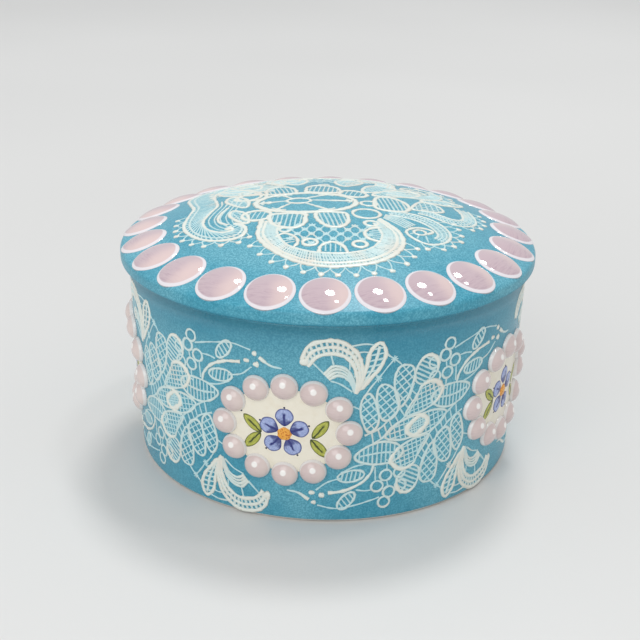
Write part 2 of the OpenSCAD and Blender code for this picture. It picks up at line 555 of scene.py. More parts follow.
@dataclass
class Turning:
    """A closed outline turned round the axis, with a finish for each stretch."""

    name: str
    segments: int = 240
    outline: list[Point] = field(default_factory=list)
    zones: list[Coat] = field(default_factory=list)

    def run(self, points: Iterable[Point], zone: Coat) -> None:
        """Adds a stretch of outline under that coat.

        Args:
            points: the stretch of outline.
            zone: what covers it.
        """
        for point in points:
            if self.outline and math.dist(point, self.outline[-1]) < 1e-6:
                continue
            self.outline.append(point)
            self.zones.append(zone)

    def build(self, finishes: Sequence[Material]) -> Piece:
        """Turns the outline, whose first and last points lie on the axis.

        Args:
            finishes: one material for each coat, in the order of Coat.

        Returns:
            The turned piece.
        """
        shape = bmesh.new()
        rings: list[list[bmesh.types.BMVert]] = []
        for radius, z in self.outline:
            if radius < 1e-7:
                rings.append([shape.verts.new((0, 0, z))])
                continue
            turns = [2 * math.pi * i / self.segments for i in range(self.segments)]
            rings.append([shape.verts.new((radius * math.cos(t), radius * math.sin(t), z)) for t in turns])
        for ring, after, zone in zip(rings, rings[1:], self.zones[1:]):
            for i in range(self.segments):
                j = (i + 1) % self.segments
                corners = [ring[i % len(ring)], ring[j % len(ring)], after[j % len(after)],
                           after[i % len(after)]]
                unique = list(dict.fromkeys(corners))
                face = shape.faces.new(unique)
                face.material_index = zone.value
                face.smooth = True
        bmesh.ops.recalc_face_normals(shape, faces=shape.faces)
        mesh = bpy.data.meshes.new(self.name)
        shape.to_mesh(mesh)
        shape.free()
        for finish in finishes:
            mesh.materials.append(finish)
        return mesh_object(self.name, mesh)


def round_outline(radius: float, longer: float = 0.0) -> Callable[[float], Point]:
    """A circle's edge by angle, or an oval's that is longer along y."""
    return lambda a: (radius * math.cos(a), (radius + longer) * math.sin(a))


@dataclass(frozen=True)
class Drop:
    """A drop of raised enamel on the flat: an outline that rises to a dome and runs into the glaze."""

    outline: Callable[[float], Point]
    height: float
    rings: int = 12
    spokes: int = 40
    power: float = 2.0
    fullness: float = 0.55
    skirt: float = 0.0005

    def add(self, shape: Shape, place: Point, turn: float = 0.0) -> None:
        """Adds one drop.

        Args:
            shape: the mesh it joins.
            place: its middle on the drawing, in metres.
            turn: its angle in radians.
        """
        unit = shape.loops.layers.uv.get("unit") or shape.loops.layers.uv.new("unit")
        rim = shape.loops.layers.uv.get("rim") or shape.loops.layers.uv.new("rim")
        loose = [self.outline(2 * math.pi * i / self.spokes) for i in range(self.spokes)]
        wide = max(abs(x) for x, _ in loose)
        deep = max(abs(y) for _, y in loose)
        cos, sin = math.cos(turn), math.sin(turn)
        mapped: dict[bmesh.types.BMVert, tuple[Point, float]] = {}

        def vertex(x: float, y: float, rise: float, reach: float) -> bmesh.types.BMVert:
            """One vertex with its place on the unit map."""
            vert = shape.verts.new((place[0] + x * cos - y * sin, place[1] + x * sin + y * cos, rise))
            mapped[vert] = ((0.5 + 0.5 * x / wide, 0.5 + 0.5 * y / deep), reach)
            return vert

        rows = [[vertex(0.0, 0.0, self.height, 0.0)]]
        for ring in range(1, self.rings + 1):
            reach = math.sin(0.5 * math.pi * ring / self.rings) ** 0.9
            rise = self.height * (1 - reach**self.power) ** self.fullness
            rows.append([vertex(x * reach, y * reach, rise, reach) for x, y in loose])
        rows.append([vertex(x, y, -self.skirt, 1.0) for x, y in loose])
        rows.append([vertex(0.0, 0.0, -self.skirt, 1.0)])
        for ring, after in zip(rows, rows[1:]):
            for i in range(self.spokes):
                j = (i + 1) % self.spokes
                corners = [ring[i % len(ring)], after[i % len(after)], after[j % len(after)],
                           ring[j % len(ring)]]
                face = shape.faces.new(list(dict.fromkeys(corners)))
                face.smooth = True
                for loop in face.loops:
                    loop[unit].uv = mapped[loop.vert][0]
                    loop[rim].uv = (mapped[loop.vert][1], 0.5)


def flat_piece(name: str, drops: Callable[[Shape], None]) -> Piece:
    """Makes a flat piece from what drops adds to an empty mesh.

    Args:
        name: the piece's name.
        drops: adds drops to the mesh it is given.

    Returns:
        The piece, still flat.
    """
    shape = bmesh.new()
    drops(shape)
    mesh = bpy.data.meshes.new(name)
    shape.to_mesh(mesh)
    shape.free()
    return mesh_object(name, mesh)


# ---------------------------------------------------------------- lace drawing

def spline(points: Sequence[Point], closed: bool = False, pitch: float = 0.7) -> list[Point]:
    """Rounds a string of points into an even curve.

    Args:
        points: places that the curve passes through, in millimetres.
        closed: whether it returns to its start.
        pitch: distance between the points of the result.

    Returns:
        Evenly spaced points on the curve.
    """
    knots = [np.array(p, float) for p in points]
    ends = [knots[-1], *knots, knots[0], knots[1]] if closed else [2 * knots[0] - knots[1], *knots,
                                                                   2 * knots[-1] - knots[-2]]
    fine: list[np.ndarray] = []
    for a, b, c, d in zip(ends, ends[1:], ends[2:], ends[3:]):
        for t in np.linspace(0, 1, 14, endpoint=False):
            bend, twist = 2 * a - 5 * b + 4 * c - d, 3 * b - a - 3 * c + d
            fine.append(0.5 * (2 * b + (c - a) * t + bend * t**2 + twist * t**3))
    fine.append(ends[-2])
    run = np.concatenate([[0.0], np.cumsum([np.linalg.norm(q - p) for p, q in zip(fine, fine[1:])])])
    count = max(2, round(float(run[-1]) / pitch))
    marks = np.linspace(0, run[-1], count + 1)
    path = np.array(fine)
    even = list(zip(np.interp(marks, run, path[:, 0]), np.interp(marks, run, path[:, 1])))
    return even[:-1] if closed else even


def oval(centre: Point, across: float, along: float, turn: float = 0.0) -> list[Point]:
    """Eight places on an oval of two half-lengths, turned by an angle in degrees."""
    cos, sin = math.cos(math.radians(turn)), math.sin(math.radians(turn))
    ends = [(across * math.cos(i * math.pi / 4), along * math.sin(i * math.pi / 4)) for i in range(8)]
    return [(centre[0] + x * cos - y * sin, centre[1] + x * sin + y * cos) for x, y in ends]


@dataclass
class LaceDrawing:
    """Threads of enamel drawn flat in millimetres, each with its own width all along."""

    threads: list[tuple[list[Point], list[float], bool]] = field(default_factory=list)

    def thread(self, points: Sequence[Point], width: float, closed: bool = False, start: float = 1.0,
               stop: float = 1.0, heavy: tuple[float, float] | None = None) -> None:
        """Draws a rounded thread.

        Args:
            points: places it passes through.
            width: its width.
            closed: whether it returns to its start.
            start: share of the width that it starts with.
            stop: share of the width that it ends with.
            heavy: a side, in degrees, and how much wider a closed thread grows towards it.
        """
        path = spline(points, closed)
        shares = np.linspace(start, stop, len(path))
        widths = [width * float(share) for share in shares]
        if heavy:
            middle = np.mean(np.array(path), axis=0)
            for i, (x, y) in enumerate(path):
                side = math.atan2(y - middle[1], x - middle[0]) - math.radians(heavy[0])
                widths[i] += heavy[1] * max(0.0, math.cos(side)) ** 2
        self.threads.append((path, widths, closed))

    def ring(self, centre: Point, across: float, width: float, along: float = 0.0) -> None:
        """Draws a ring, or an oval where a second half-length is given."""
        self.thread(oval(centre, across, along or across), width, closed=True)

    def dot(self, centre: Point, radius: float) -> None:
        """Draws a round blob."""
        steps = [-0.96, -0.8, -0.45, 0.0, 0.45, 0.8, 0.96]
        path = [(centre[0] + radius * s, centre[1]) for s in steps]
        self.threads.append((path, [2 * radius * math.sqrt(1 - s * s) for s in steps], False))

    def hatch(self, outline: Sequence[Point], angle: float, pitch: float, width: float) -> None:
        """Fills a closed outline with parallel threads at an angle in degrees.

        Args:
            outline: places that the outline passes through.
            angle: the threads' angle in degrees.
            pitch: distance from thread to thread.
            width: width of a thread.
        """
        cos, sin = math.cos(math.radians(angle)), math.sin(math.radians(angle))
        edge = [(x * cos + y * sin, y * cos - x * sin) for x, y in spline(outline, True)]
        low, high = min(v for _, v in edge), max(v for _, v in edge)
        count = max(1, round((high - low) / pitch) - 1)
        for i in range(count):
            level = low + (high - low) * (i + 1) / (count + 1)
            cuts = []
            for (u0, v0), (u1, v1) in zip(edge, edge[1:] + edge[:1]):
                if (v0 - level) * (v1 - level) < 0:
                    cuts.append(u0 + (u1 - u0) * (level - v0) / (v1 - v0))
            cuts.sort()
            for a, b in zip(cuts[::2], cuts[1::2]):
                ends = [(u * cos - level * sin, u * sin + level * cos) for u in (a, (a + b) / 2, b)]
                self.thread(ends, width)

    def leaf(self, outline: Sequence[Point], border: float, nets: Sequence[tuple[float, float, float]],
             heavy: tuple[float, float] | None = None) -> None:
        """Draws a closed border and the parallel threads inside it.

        Args:
            outline: places that the border passes through.
            border: its width.
            nets: angle, pitch and width of each set of threads.
            heavy: as for a closed thread.
        """
        self.thread(outline, border, closed=True, heavy=heavy)
        for angle, pitch, width in nets:
            self.hatch(outline, angle, pitch, width)

    def between(self, first: Sequence[Point], second: Sequence[Point], shares: Sequence[float],
                width: float,
                start: float = 1.0, stop: float = 1.0) -> None:
        """Draws threads that run side by side between two edges, at the given shares of the way across.

        Args:
            first: one edge.
            second: the other edge.
            shares: how far across each thread runs, from 0 to 1.
            width: width of a thread.
            start: share of the width that it starts with.
            stop: share of the width that it ends with.
        """
        a, b = (np.array(spline(side, pitch=0.25)) for side in (first, second))
        marks = np.linspace(0, 1, max(8, len(a) // 3))
        tracks = [np.stack([np.interp(marks, np.linspace(0, 1, len(s)), s[:, k]) for k in (0, 1)],
                           1) for s in (a, b)]
        for share in shares:
            path = tracks[0] * (1 - share) + tracks[1] * share
            widths = [width * float(w) for w in np.linspace(start, stop, len(path))]
            self.threads.append(([tuple(p) for p in path], widths, False))

    def rungs(self, first: Sequence[Point], second: Sequence[Point], pitch: float, width: float) -> None:
        """Draws short threads across from one edge to the other.

        Args:
            first: one edge.
            second: the other edge.
            pitch: distance from rung to rung.
            width: width of a rung.
        """
        a, b = (np.array(spline(side, pitch=0.25)) for side in (first, second))
        count = max(1, round(0.25 * max(len(a), len(b)) / pitch))
        for i in range(1, count):
            ends = [tuple(side[round(i / count * (len(side) - 1))]) for side in (a, b)]
            middle = ((ends[0][0] + ends[1][0]) / 2, (ends[0][1] + ends[1][1]) / 2)
            self.thread([ends[0], middle, ends[1]], width)

    def tape(self, first: Sequence[Point], second: Sequence[Point], edge: float, middle: float, rung: float,
             pitch: float) -> None:
        """Draws a braid tape: two edges, a middle thread and rungs.

        Args:
            first: one edge.
            second: the other edge.
            edge: width of both edges.
            middle: width of the middle thread, or 0 for none.
            rung: width of a rung.
            pitch: distance from rung to rung.
        """
        self.thread(first, edge)
        self.thread(second, edge)
        if middle:
            self.between(first, second, (0.5,), middle)
        self.rungs(first, second, pitch, rung)

    def picots(self, border: Sequence[Point], dots: Sequence[Point], radius: float, width: float) -> None:
        """Draws blobs outside a border, each looped to it by two arcs.

        Args:
            border: places that the border passes through.
            dots: middle of each blob.
            radius: radius of a blob.
            width: width of an arc.
        """
        rim = np.array(spline(border, pitch=0.3))
        for x, y in dots:
            self.dot((x, y), radius)
            away = np.hypot(rim[:, 0] - x, rim[:, 1] - y)
            near = int(np.argmin(away))
            for shift in (-6, 6):
                foot = rim[min(len(rim) - 1, max(0, near + shift))]
                bend = ((x + foot[0]) / 2 + 0.12 * (foot[0] - rim[near][0]) * 2,
                        (y + foot[1]) / 2 + 0.12 * (foot[1] - rim[near][1]) * 2)
                self.thread([(x, y), bend, tuple(foot)], width)

    def knot(self, centre: Point, radius: float, width: float, arms: int = 4, turn: float = 45.0) -> None:
        """Draws a small star of crossing threads.

        Args:
            centre: its middle.
            radius: half the length of a thread.
            width: width of a thread.
            arms: how many threads cross.
            turn: angle of the first one, in degrees.
        """
        for i in range(arms):
            a = math.radians(turn + 180 * i / arms)
            x, y = radius * math.cos(a), radius * math.sin(a)
            self.thread([(centre[0] - x, centre[1] - y), centre, (centre[0] + x, centre[1] + y)], width,
                        start=0.6, stop=0.6)

    def turned(self, angle: float, about: Point = (0.0, 0.0), flip: bool = False) -> "LaceDrawing":
        """A copy turned about a point, and mirrored left to right first if flip is set.

        Args:
            angle: the turn in degrees.
            about: the place it turns about.
            flip: whether it is mirrored left to right first.

        Returns:
            The turned copy.
        """
        cos, sin = math.cos(math.radians(angle)), math.sin(math.radians(angle))
        sign = -1.0 if flip else 1.0
        copies = []
        for path, widths, closed in self.threads:
            moved = []
            for x, y in path:
                u, v = sign * (x - about[0]), y - about[1]
                moved.append((about[0] + u * cos - v * sin, about[1] + u * sin + v * cos))
            copies.append((moved, list(widths), closed))
        return LaceDrawing(copies)

    def shaped(self, rule: Callable[[float, float], Point]) -> "LaceDrawing":
        """A copy with every place moved by a rule."""
        return LaceDrawing([([rule(x, y) for x, y in path], list(widths), closed) for path, widths,
                            closed in self.threads])

    def join(self, other: "LaceDrawing") -> None:
        """Adds another drawing's threads."""
        self.threads += other.threads

    def mesh(self, name: str) -> bpy.types.Mesh:
        """The drawing as loose edges in metres, with each vertex's width.

        Args:
            name: the mesh's name.

        Returns:
            The mesh, with the width as an attribute of its points.
        """
        verts: list[tuple[float, float, float]] = []
        edges: list[tuple[int, int]] = []
        widths: list[float] = []
        for path, spread, closed in self.threads:
            first = len(verts)
            verts += [(x * MM, y * MM, 0.0) for x, y in path]
            widths += [w * MM for w in spread]
            edges += [(first + i, first + i + 1) for i in range(len(path) - 1)]
            if closed:
                edges.append((len(verts) - 1, first))
        mesh = bpy.data.meshes.new(name)
        mesh.from_pydata(verts, edges, [])
        mesh.attributes.new("width", "FLOAT", "POINT").data.foreach_set("value", widths)
        return mesh


# ---------------------------------------------------------------- geometry node trees

@dataclass
class ReliefTree:
    """A Geometry Nodes tree that lays flat enamel on a porcelain form and copies it round the axis."""

    name: str
    wrap: Callable[[Nodes, list[Socket], Sockets], Socket]
    sizes: dict[str, float]
    threads: bool = True

    def build(self) -> bpy.types.GeometryNodeTree:
        """Makes the tree, with a named input for each size."""
        tree = bpy.data.node_groups.new(self.name, "GeometryNodeTree")
        tree.interface.new_socket("Geometry", in_out="INPUT", socket_type="NodeSocketGeometry")
        for size, value in self.sizes.items():
            tree.interface.new_socket(size, in_out="INPUT",
                                      socket_type="NodeSocketFloat").default_value = value
        tree.interface.new_socket("Copies", in_out="INPUT", socket_type="NodeSocketInt").default_value = 1
        tree.interface.new_socket("Finish", in_out="INPUT", socket_type="NodeSocketMaterial")
        tree.interface.new_socket("Geometry", in_out="OUTPUT", socket_type="NodeSocketGeometry")
        nodes = Nodes(tree)
        given = {socket.name: socket for socket in nodes.add("NodeGroupInput").outputs}
        shape = self.tubes(nodes, given) if self.threads else given["Geometry"]
        x, y, height = nodes.split(nodes.add("GeometryNodeInputPosition").outputs[0])
        if self.threads:
            over = nodes.math("DIVIDE", nodes.times(height, given["Crest"]),
                              nodes.plus(height, given["Crest"]))
            sunk = nodes.math("MAXIMUM", height, nodes.times(given["Root"], -1.0))
            raised = nodes.math("GREATER_THAN", height, 0.0)
            height = nodes.add("ShaderNodeMix", {0: raised, 2: sunk, 3: over}).outputs[0]
        laid = nodes.add("GeometryNodeSetPosition",
                         {"Geometry": shape, "Position": self.wrap(nodes, [x, y, height], given)})
        whole = nodes.add("GeometryNodeGeometryToInstance", {0: laid.outputs[0]})
        many = nodes.add("GeometryNodeDuplicateElements",
                         {"Geometry": whole.outputs[0], "Amount": given["Copies"]}, domain="INSTANCE")
        step = nodes.math("DIVIDE", 2 * math.pi, given["Copies"])
        turn = nodes.join(0.0, 0.0, nodes.times(many.outputs[1], step))
        spun = nodes.add("GeometryNodeRotateInstances",
                         {0: many.outputs[0], "Rotation": turn, "Pivot Point": (0, 0, 0),
                          "Local Space": False})
        real = nodes.add("GeometryNodeRealizeInstances", {0: spun.outputs[0]})
        smooth = nodes.add("GeometryNodeSetShadeSmooth", {0: real.outputs[0]})
        finish = nodes.add("GeometryNodeSetMaterial", {0: smooth.outputs[0], "Material": given["Finish"]})
        nodes.add("NodeGroupOutput", {0: finish.outputs[0]})
        return tree

    def tubes(self, nodes: Nodes, given: Sockets) -> Socket:
        """Gives each thread its wandering line and its body.

        Args:
            nodes: the tree's nodes.
            given: the tree's inputs by name.

        Returns:
            The tubes, still flat.
        """
        place = nodes.add("GeometryNodeInputPosition").outputs[0]
        waver = nodes.noise(place, 260.0, 2.0).outputs[1]
        aside = nodes.vector("SCALE", nodes.vector("SUBTRACT", waver, (0.5, 0.5, 0.5)), given["Waver"])
        level = nodes.vector("MULTIPLY", aside, (1.0, 1.0, 0.0))
        moved = nodes.add("GeometryNodeSetPosition", {"Geometry": given["Geometry"], "Offset": level})
        line = nodes.add("GeometryNodeMeshToCurve", {0: moved.outputs[0]})
        upright = nodes.add("GeometryNodeSetCurveNormal", {0: line.outputs[0]})
        upright.mode = "Z_UP"
        profile = nodes.add("GeometryNodeCurvePrimitiveCircle", {0: 6, 4: 0.5})
        drawn = nodes.add("GeometryNodeInputNamedAttribute", {"Name": "width"},
                          data_type="FLOAT").outputs[0]
        flow = nodes.span(nodes.noise(place, 1100.0, 1.0).outputs[0], 0.3, 0.7, 0.70, 1.30)
        feeds = {"Curve": upright.outputs[0], "Profile Curve": profile.outputs[0],
                 "Scale": nodes.times(drawn, flow), "Fill Caps": True}
        return nodes.add("GeometryNodeCurveToMesh", feeds).outputs[0]


def on_wall(nodes: Nodes, flat: list[Socket], given: Sockets) -> Socket:
    """Where a flat place with a relief height lies on the tapered wall.

    Args:
        nodes: the tree's nodes.
        flat: x and y on the drawing, and the height over it.
        given: the tree's inputs by name.

    Returns:
        The place on the wall.
    """
    turn = nodes.plus(nodes.math("DIVIDE", flat[0], given["Drawing Radius"]), given["Turn"])
    radius = nodes.plus(nodes.math("MULTIPLY_ADD", flat[1], given["Slope"], given["Foot Radius"]), flat[2])
    return nodes.join(nodes.times(radius, nodes.math("SINE", turn)),
                      nodes.times(nodes.times(radius, nodes.math("COSINE", turn)), -1.0), flat[1])


def on_crown(nodes: Nodes, flat: list[Socket], given: Sockets) -> Socket:
    """Where a flat place with a relief height lies on the lid's crown.

    Args:
        nodes: the tree's nodes.
        flat: x and y on the drawing, and the height over it.
        given: the tree's inputs by name.

    Returns:
        The place on the crown.
    """
    level = nodes.plus(nodes.math("POWER", flat[0], 2.0), nodes.math("POWER", flat[1], 2.0))
    rise = nodes.math("SQRT", nodes.minus(nodes.math("POWER", given["Ball Radius"], 2.0), level))
    outward = nodes.vector("NORMALIZE", nodes.join(flat[0], flat[1], rise))
    reach = nodes.vector("SCALE", outward, nodes.plus(given["Ball Radius"], flat[2]))
    return nodes.vector("ADD", reach, nodes.join(0.0, 0.0, given["Ball Height"]))


def settle(name: str, source: bpy.types.Mesh, tree: bpy.types.GeometryNodeTree,
           values: dict[str, Any]) -> Piece:
    """Runs a tree on a mesh and keeps the result as a plain piece.

    Args:
        name: the piece's name.
        source: the mesh that the tree works on.
        tree: the Geometry Nodes tree.
        values: the inputs to set, by name.

    Returns:
        The finished piece.
    """
    draft = mesh_object(name + "_draft", source)
    modifier = draft.modifiers.new("relief", "NODES")
    modifier.node_group = tree
    for item in tree.interface.items_tree:
        if item.in_out == "INPUT" and item.name in values:
            modifier[item.identifier] = values[item.name]
    graph = bpy.context.evaluated_depsgraph_get()
    mesh = bpy.data.meshes.new_from_object(draft.evaluated_get(graph), depsgraph=graph)
    mesh.name = name
    bpy.data.objects.remove(draft)
    return mesh_object(name, mesh)


# ---------------------------------------------------------------- the box

@dataclass
class Body:
    """The cup: a tapered wall, a floor set up on a foot ring, and a rim that the lid rests on."""

    form: WallForm
    wall: float = 0.0036
    floor_z: float = 0.0047
    inside_round: float = 0.004
    rim_round: float = 0.0009
    foot_round: float = 0.0014
    ring_radius: float = 0.0425
    ring_round: float = 0.0008
    ring_toe: float = 0.0004
    recess: float = 0.0015
    # how far down from the rim the painted shade under the lid reaches
    pool_and_shade_reach: float = 0.012
    pale_band_drop: float = 0.0003

    def build(self) -> Piece:
        """Turns the cup and finishes it blue outside, white inside and bare under the foot."""
        form, rim, foot, heel = self.form, self.rim_round, self.foot_round, self.ring_radius - self.ring_round
        top = (form.radius(form.height) - rim, form.height - rim)
        bore, floor_bore = form.radius(form.height) - self.wall, form.radius(self.floor_z) - self.wall
        turning = Turning("cup")
        turning.run([(0.0, self.recess), (self.ring_radius / 2, self.recess), (heel, self.recess)],
                    Coat.WHITE)
        turning.run(arc((heel, self.recess - self.ring_round), self.ring_round, 90, 0, 4), Coat.WHITE)
        turning.run(arc((self.ring_radius + self.ring_toe, self.ring_toe), self.ring_toe, 180, 270, 4),
                    Coat.BARE)
        turning.run([(form.radius(0.0) - foot, 0.0)], Coat.BARE)
        turning.run(arc((form.radius(foot) - foot, foot), foot, -90, -30, 5), Coat.BARE)
        turning.run(arc((form.radius(foot) - foot, foot), foot, -30, 0, 4), Coat.BLUE)
        heights = np.linspace(foot, form.height - rim, 13)[1:]
        turning.run([(form.radius(z), float(z)) for z in heights], Coat.BLUE)
        turning.run(arc(top, rim, 0, 75, 8), Coat.BLUE)
        turning.run(arc(top, rim, 75, 90, 2), Coat.BARE)
        turning.run(arc((bore + rim, form.height - rim), rim, 90, 180, 8), Coat.BARE)
        turning.run([(form.radius(z) - self.wall, z) for z in (form.height - 0.003, 0.03, 0.015)],
                    Coat.WHITE)
        turning.run(arc((floor_bore - self.inside_round, self.floor_z + self.inside_round),
                        self.inside_round, 0, -90, 10), Coat.WHITE)
        turning.run([(floor_bore / 2, self.floor_z), (0.0, self.floor_z)], Coat.WHITE)
        # The cup's glaze darkens towards the rim as painted shade under the lid.
        glaze = BlueGlaze("cup_glaze", pool_and_shade_z=form.height - 0.001, pool_and_shade_reach=self.pool_and_shade_reach,
                          pale_band_z=form.height - self.pale_band_drop, pale_band_reach=0.00035)
        inside = PlainPorcelain("cup_white_glaze")
        return turning.build([glaze.material(), inside.material(), bare_clay("cup_bare_foot").material()])


@dataclass
class Lid:
    """The lid: a crown with a tight shoulder, and a flange that drops inside the wall."""

    form: CrownForm
    thickness: float = 0.0034
    flange_radius: float = 0.04387
    flange_inner: float = 0.04147
    flange_depth: float = 0.004
    edge_round: float = 0.0007
    seat_gap: float = 0.0003
    hollow_rise: float = 0.001
    pole_angle: float = 89.6

    def build(self) -> Piece:
        """Turns the lid and finishes it blue on top, white inside and bare where it rests."""
        form = self.form
        ball, top = (0.0, form.ball_z), form.rim_z
        turning = Turning("lid_shell")
        turning.run([(0.0, form.apex_z)], Coat.BLUE)
        turning.run(arc(ball, form.ball, self.pole_angle, form.shoulder_angle, 26), Coat.BLUE)
        inner = form.edge_radius - form.shoulder
        turning.run(arc((inner, form.shoulder_z), form.shoulder, form.shoulder_angle, 0, 12), Coat.BLUE)
        turning.run(arc((form.edge_radius - form.lip, top + form.lip), form.lip, 0, -60, 6), Coat.BLUE)
        turning.run(arc((form.edge_radius - form.lip, top + form.lip), form.lip, -60, -90, 3), Coat.BARE)
        turning.run([(self.flange_radius + self.seat_gap, top)], Coat.BARE)
        low, bend = top - self.flange_depth, self.edge_round
        turning.run(arc((self.flange_radius - bend, low + bend), bend, 0, -90, 5), Coat.BARE)
        turning.run(arc((self.flange_inner + bend, low + bend), bend, 270, 180, 5), Coat.WHITE)
        hollow = form.ball - self.thickness
        meet = math.degrees(math.acos(self.flange_inner / hollow))
        turning.run([(self.flange_inner, top - self.hollow_rise)], Coat.WHITE)
        turning.run(arc(ball, hollow, meet, self.pole_angle, 18), Coat.WHITE)
        turning.run([(0.0, form.ball_z + hollow)], Coat.WHITE)
        # The lid's glaze darkens at the lip, partly glaze pooling and partly painted shade.
        glaze = BlueGlaze("lid_glaze", blue=(0.085, 0.385, 0.510), pale=(0.200, 0.520, 0.620), gloss=0.2,
                          pool_and_shade_z=form.rim_z,
                          pool_and_shade_reach=0.0011, pool_and_shade_depth=0.9)
        inside = PlainPorcelain("lid_white_glaze")
        return turning.build([glaze.material(), inside.material(), bare_clay("lid_bare_seat").material()])


@dataclass
class LidStones:
    """Pink cabochons in a ring on the lid's shoulder, each with a pale outline."""

    form: CrownForm
    ring_radius: float = 0.0443
    diameter: float = 0.0110
    height: float = 0.0012
    longer: float = 0.0003

    def build(self, node: str, finish: Material) -> Piece:
        """Makes the cabochon that stands for one node, where that node is.

        Args:
            node: the node that the cabochon stands for.
            finish: its enamel.

        Returns:
            The cabochon.
        """
        low, high = (Vector(corner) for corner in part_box(node))
        middle = (low + high) / 2
        turn = math.atan2(middle.x, -middle.y)
        lean = math.asin(self.ring_radius / self.form.ball)
        outward = Vector((math.sin(turn) * math.sin(lean), -math.cos(turn) * math.sin(lean),
                          math.cos(lean)))
        along = Vector((math.cos(turn), math.sin(turn), 0.0))
        inward = outward.cross(along)
        drop = Drop(round_outline(self.diameter / 2, self.longer), self.height, fullness=0.8, skirt=0.0006)
        piece = flat_piece(node.replace("cabochon", "stone"),
                           lambda shape: drop.add(shape, (0.0, -self.longer)))
        base = Vector((0, 0, self.form.ball_z))
        for vert in piece.data.vertices:
            flat = (outward * self.form.ball + along * vert.co.x + inward * vert.co.y).normalized()
            vert.co = base + flat * (self.form.ball + vert.co.z)
        piece.data.materials.append(finish)
        return piece


@dataclass
class Medallion:
    """An oval of pearls round a cream reserve with a flower in it."""

    form: WallForm
    tree: bpy.types.GeometryNodeTree
    turn: float
    middle_z: float = 0.0229
    oval: Point = (0.0140, 0.0107)
    pearl_diameter: float = 0.0061
    pearl_height: float = 0.0021
    pearl_count: int = 12
    reserve_inset: float = 0.0005
    reserve_height: float = 0.00018
    bunching: float = math.radians(3.76)

    def laid(self, name: str, drops: Callable[[Shape], None], finish: Material) -> Piece:
        """Lays flat drops on the wall at this medallion's place.

        Args:
            name: the piece's name.
            drops: adds the drops to an empty mesh.
            finish: what the piece is made of.

        Returns:
            The finished piece.
        """
        flat = flat_piece(name + "_flat", drops)
        source = flat.data
        bpy.data.objects.remove(flat)
        values = {"Foot Radius": self.form.foot_radius, "Slope": self.form.slope, "Turn": self.turn,
                  "Finish": finish,
                  "Drawing Radius": self.form.radius(self.middle_z), "Copies": 1}
        return settle(name, source, self.tree, values)

    def pearls(self, number: int, finish: Material) -> Piece:
        """Makes the ring of pearls.

        Args:
            number: which medallion this is.
            finish: the enamel of the pearls.

        Returns:
            The twelve pearls as one piece.
        """
        drop = Drop(round_outline(self.pearl_diameter / 2), self.pearl_height, rings=10, spokes=32)

        def place(shape: Shape) -> None:
            """Adds the pearls, drawn a little closer at the oval's ends."""
            for i in range(self.pearl_count):
                a = 2 * math.pi * i / self.pearl_count
                a += self.bunching * math.sin(2 * a)
                drop.add(shape, (self.oval[0] * math.cos(a), self.middle_z + self.oval[1] * math.sin(a)))

        return self.laid(f"pearl_oval_{number}", place, finish)

    def reserve(self, number: int, finish: Material) -> Piece:
        """Makes the thin cream ground inside the pearls.

        Args:
            number: which medallion this is.
            finish: the enamel of the ground.

        Returns:
            The ground.
        """
        wide, high = (half - self.reserve_inset for half in self.oval)
        drop = Drop(lambda a: (wide * math.cos(a), high * math.sin(a)), self.reserve_height, rings=10,
                    spokes=72, power=8.0, skirt=0.0002)
        return self.laid(f"reserve_{number}", lambda shape: drop.add(shape, (0.0, self.middle_z)), finish)


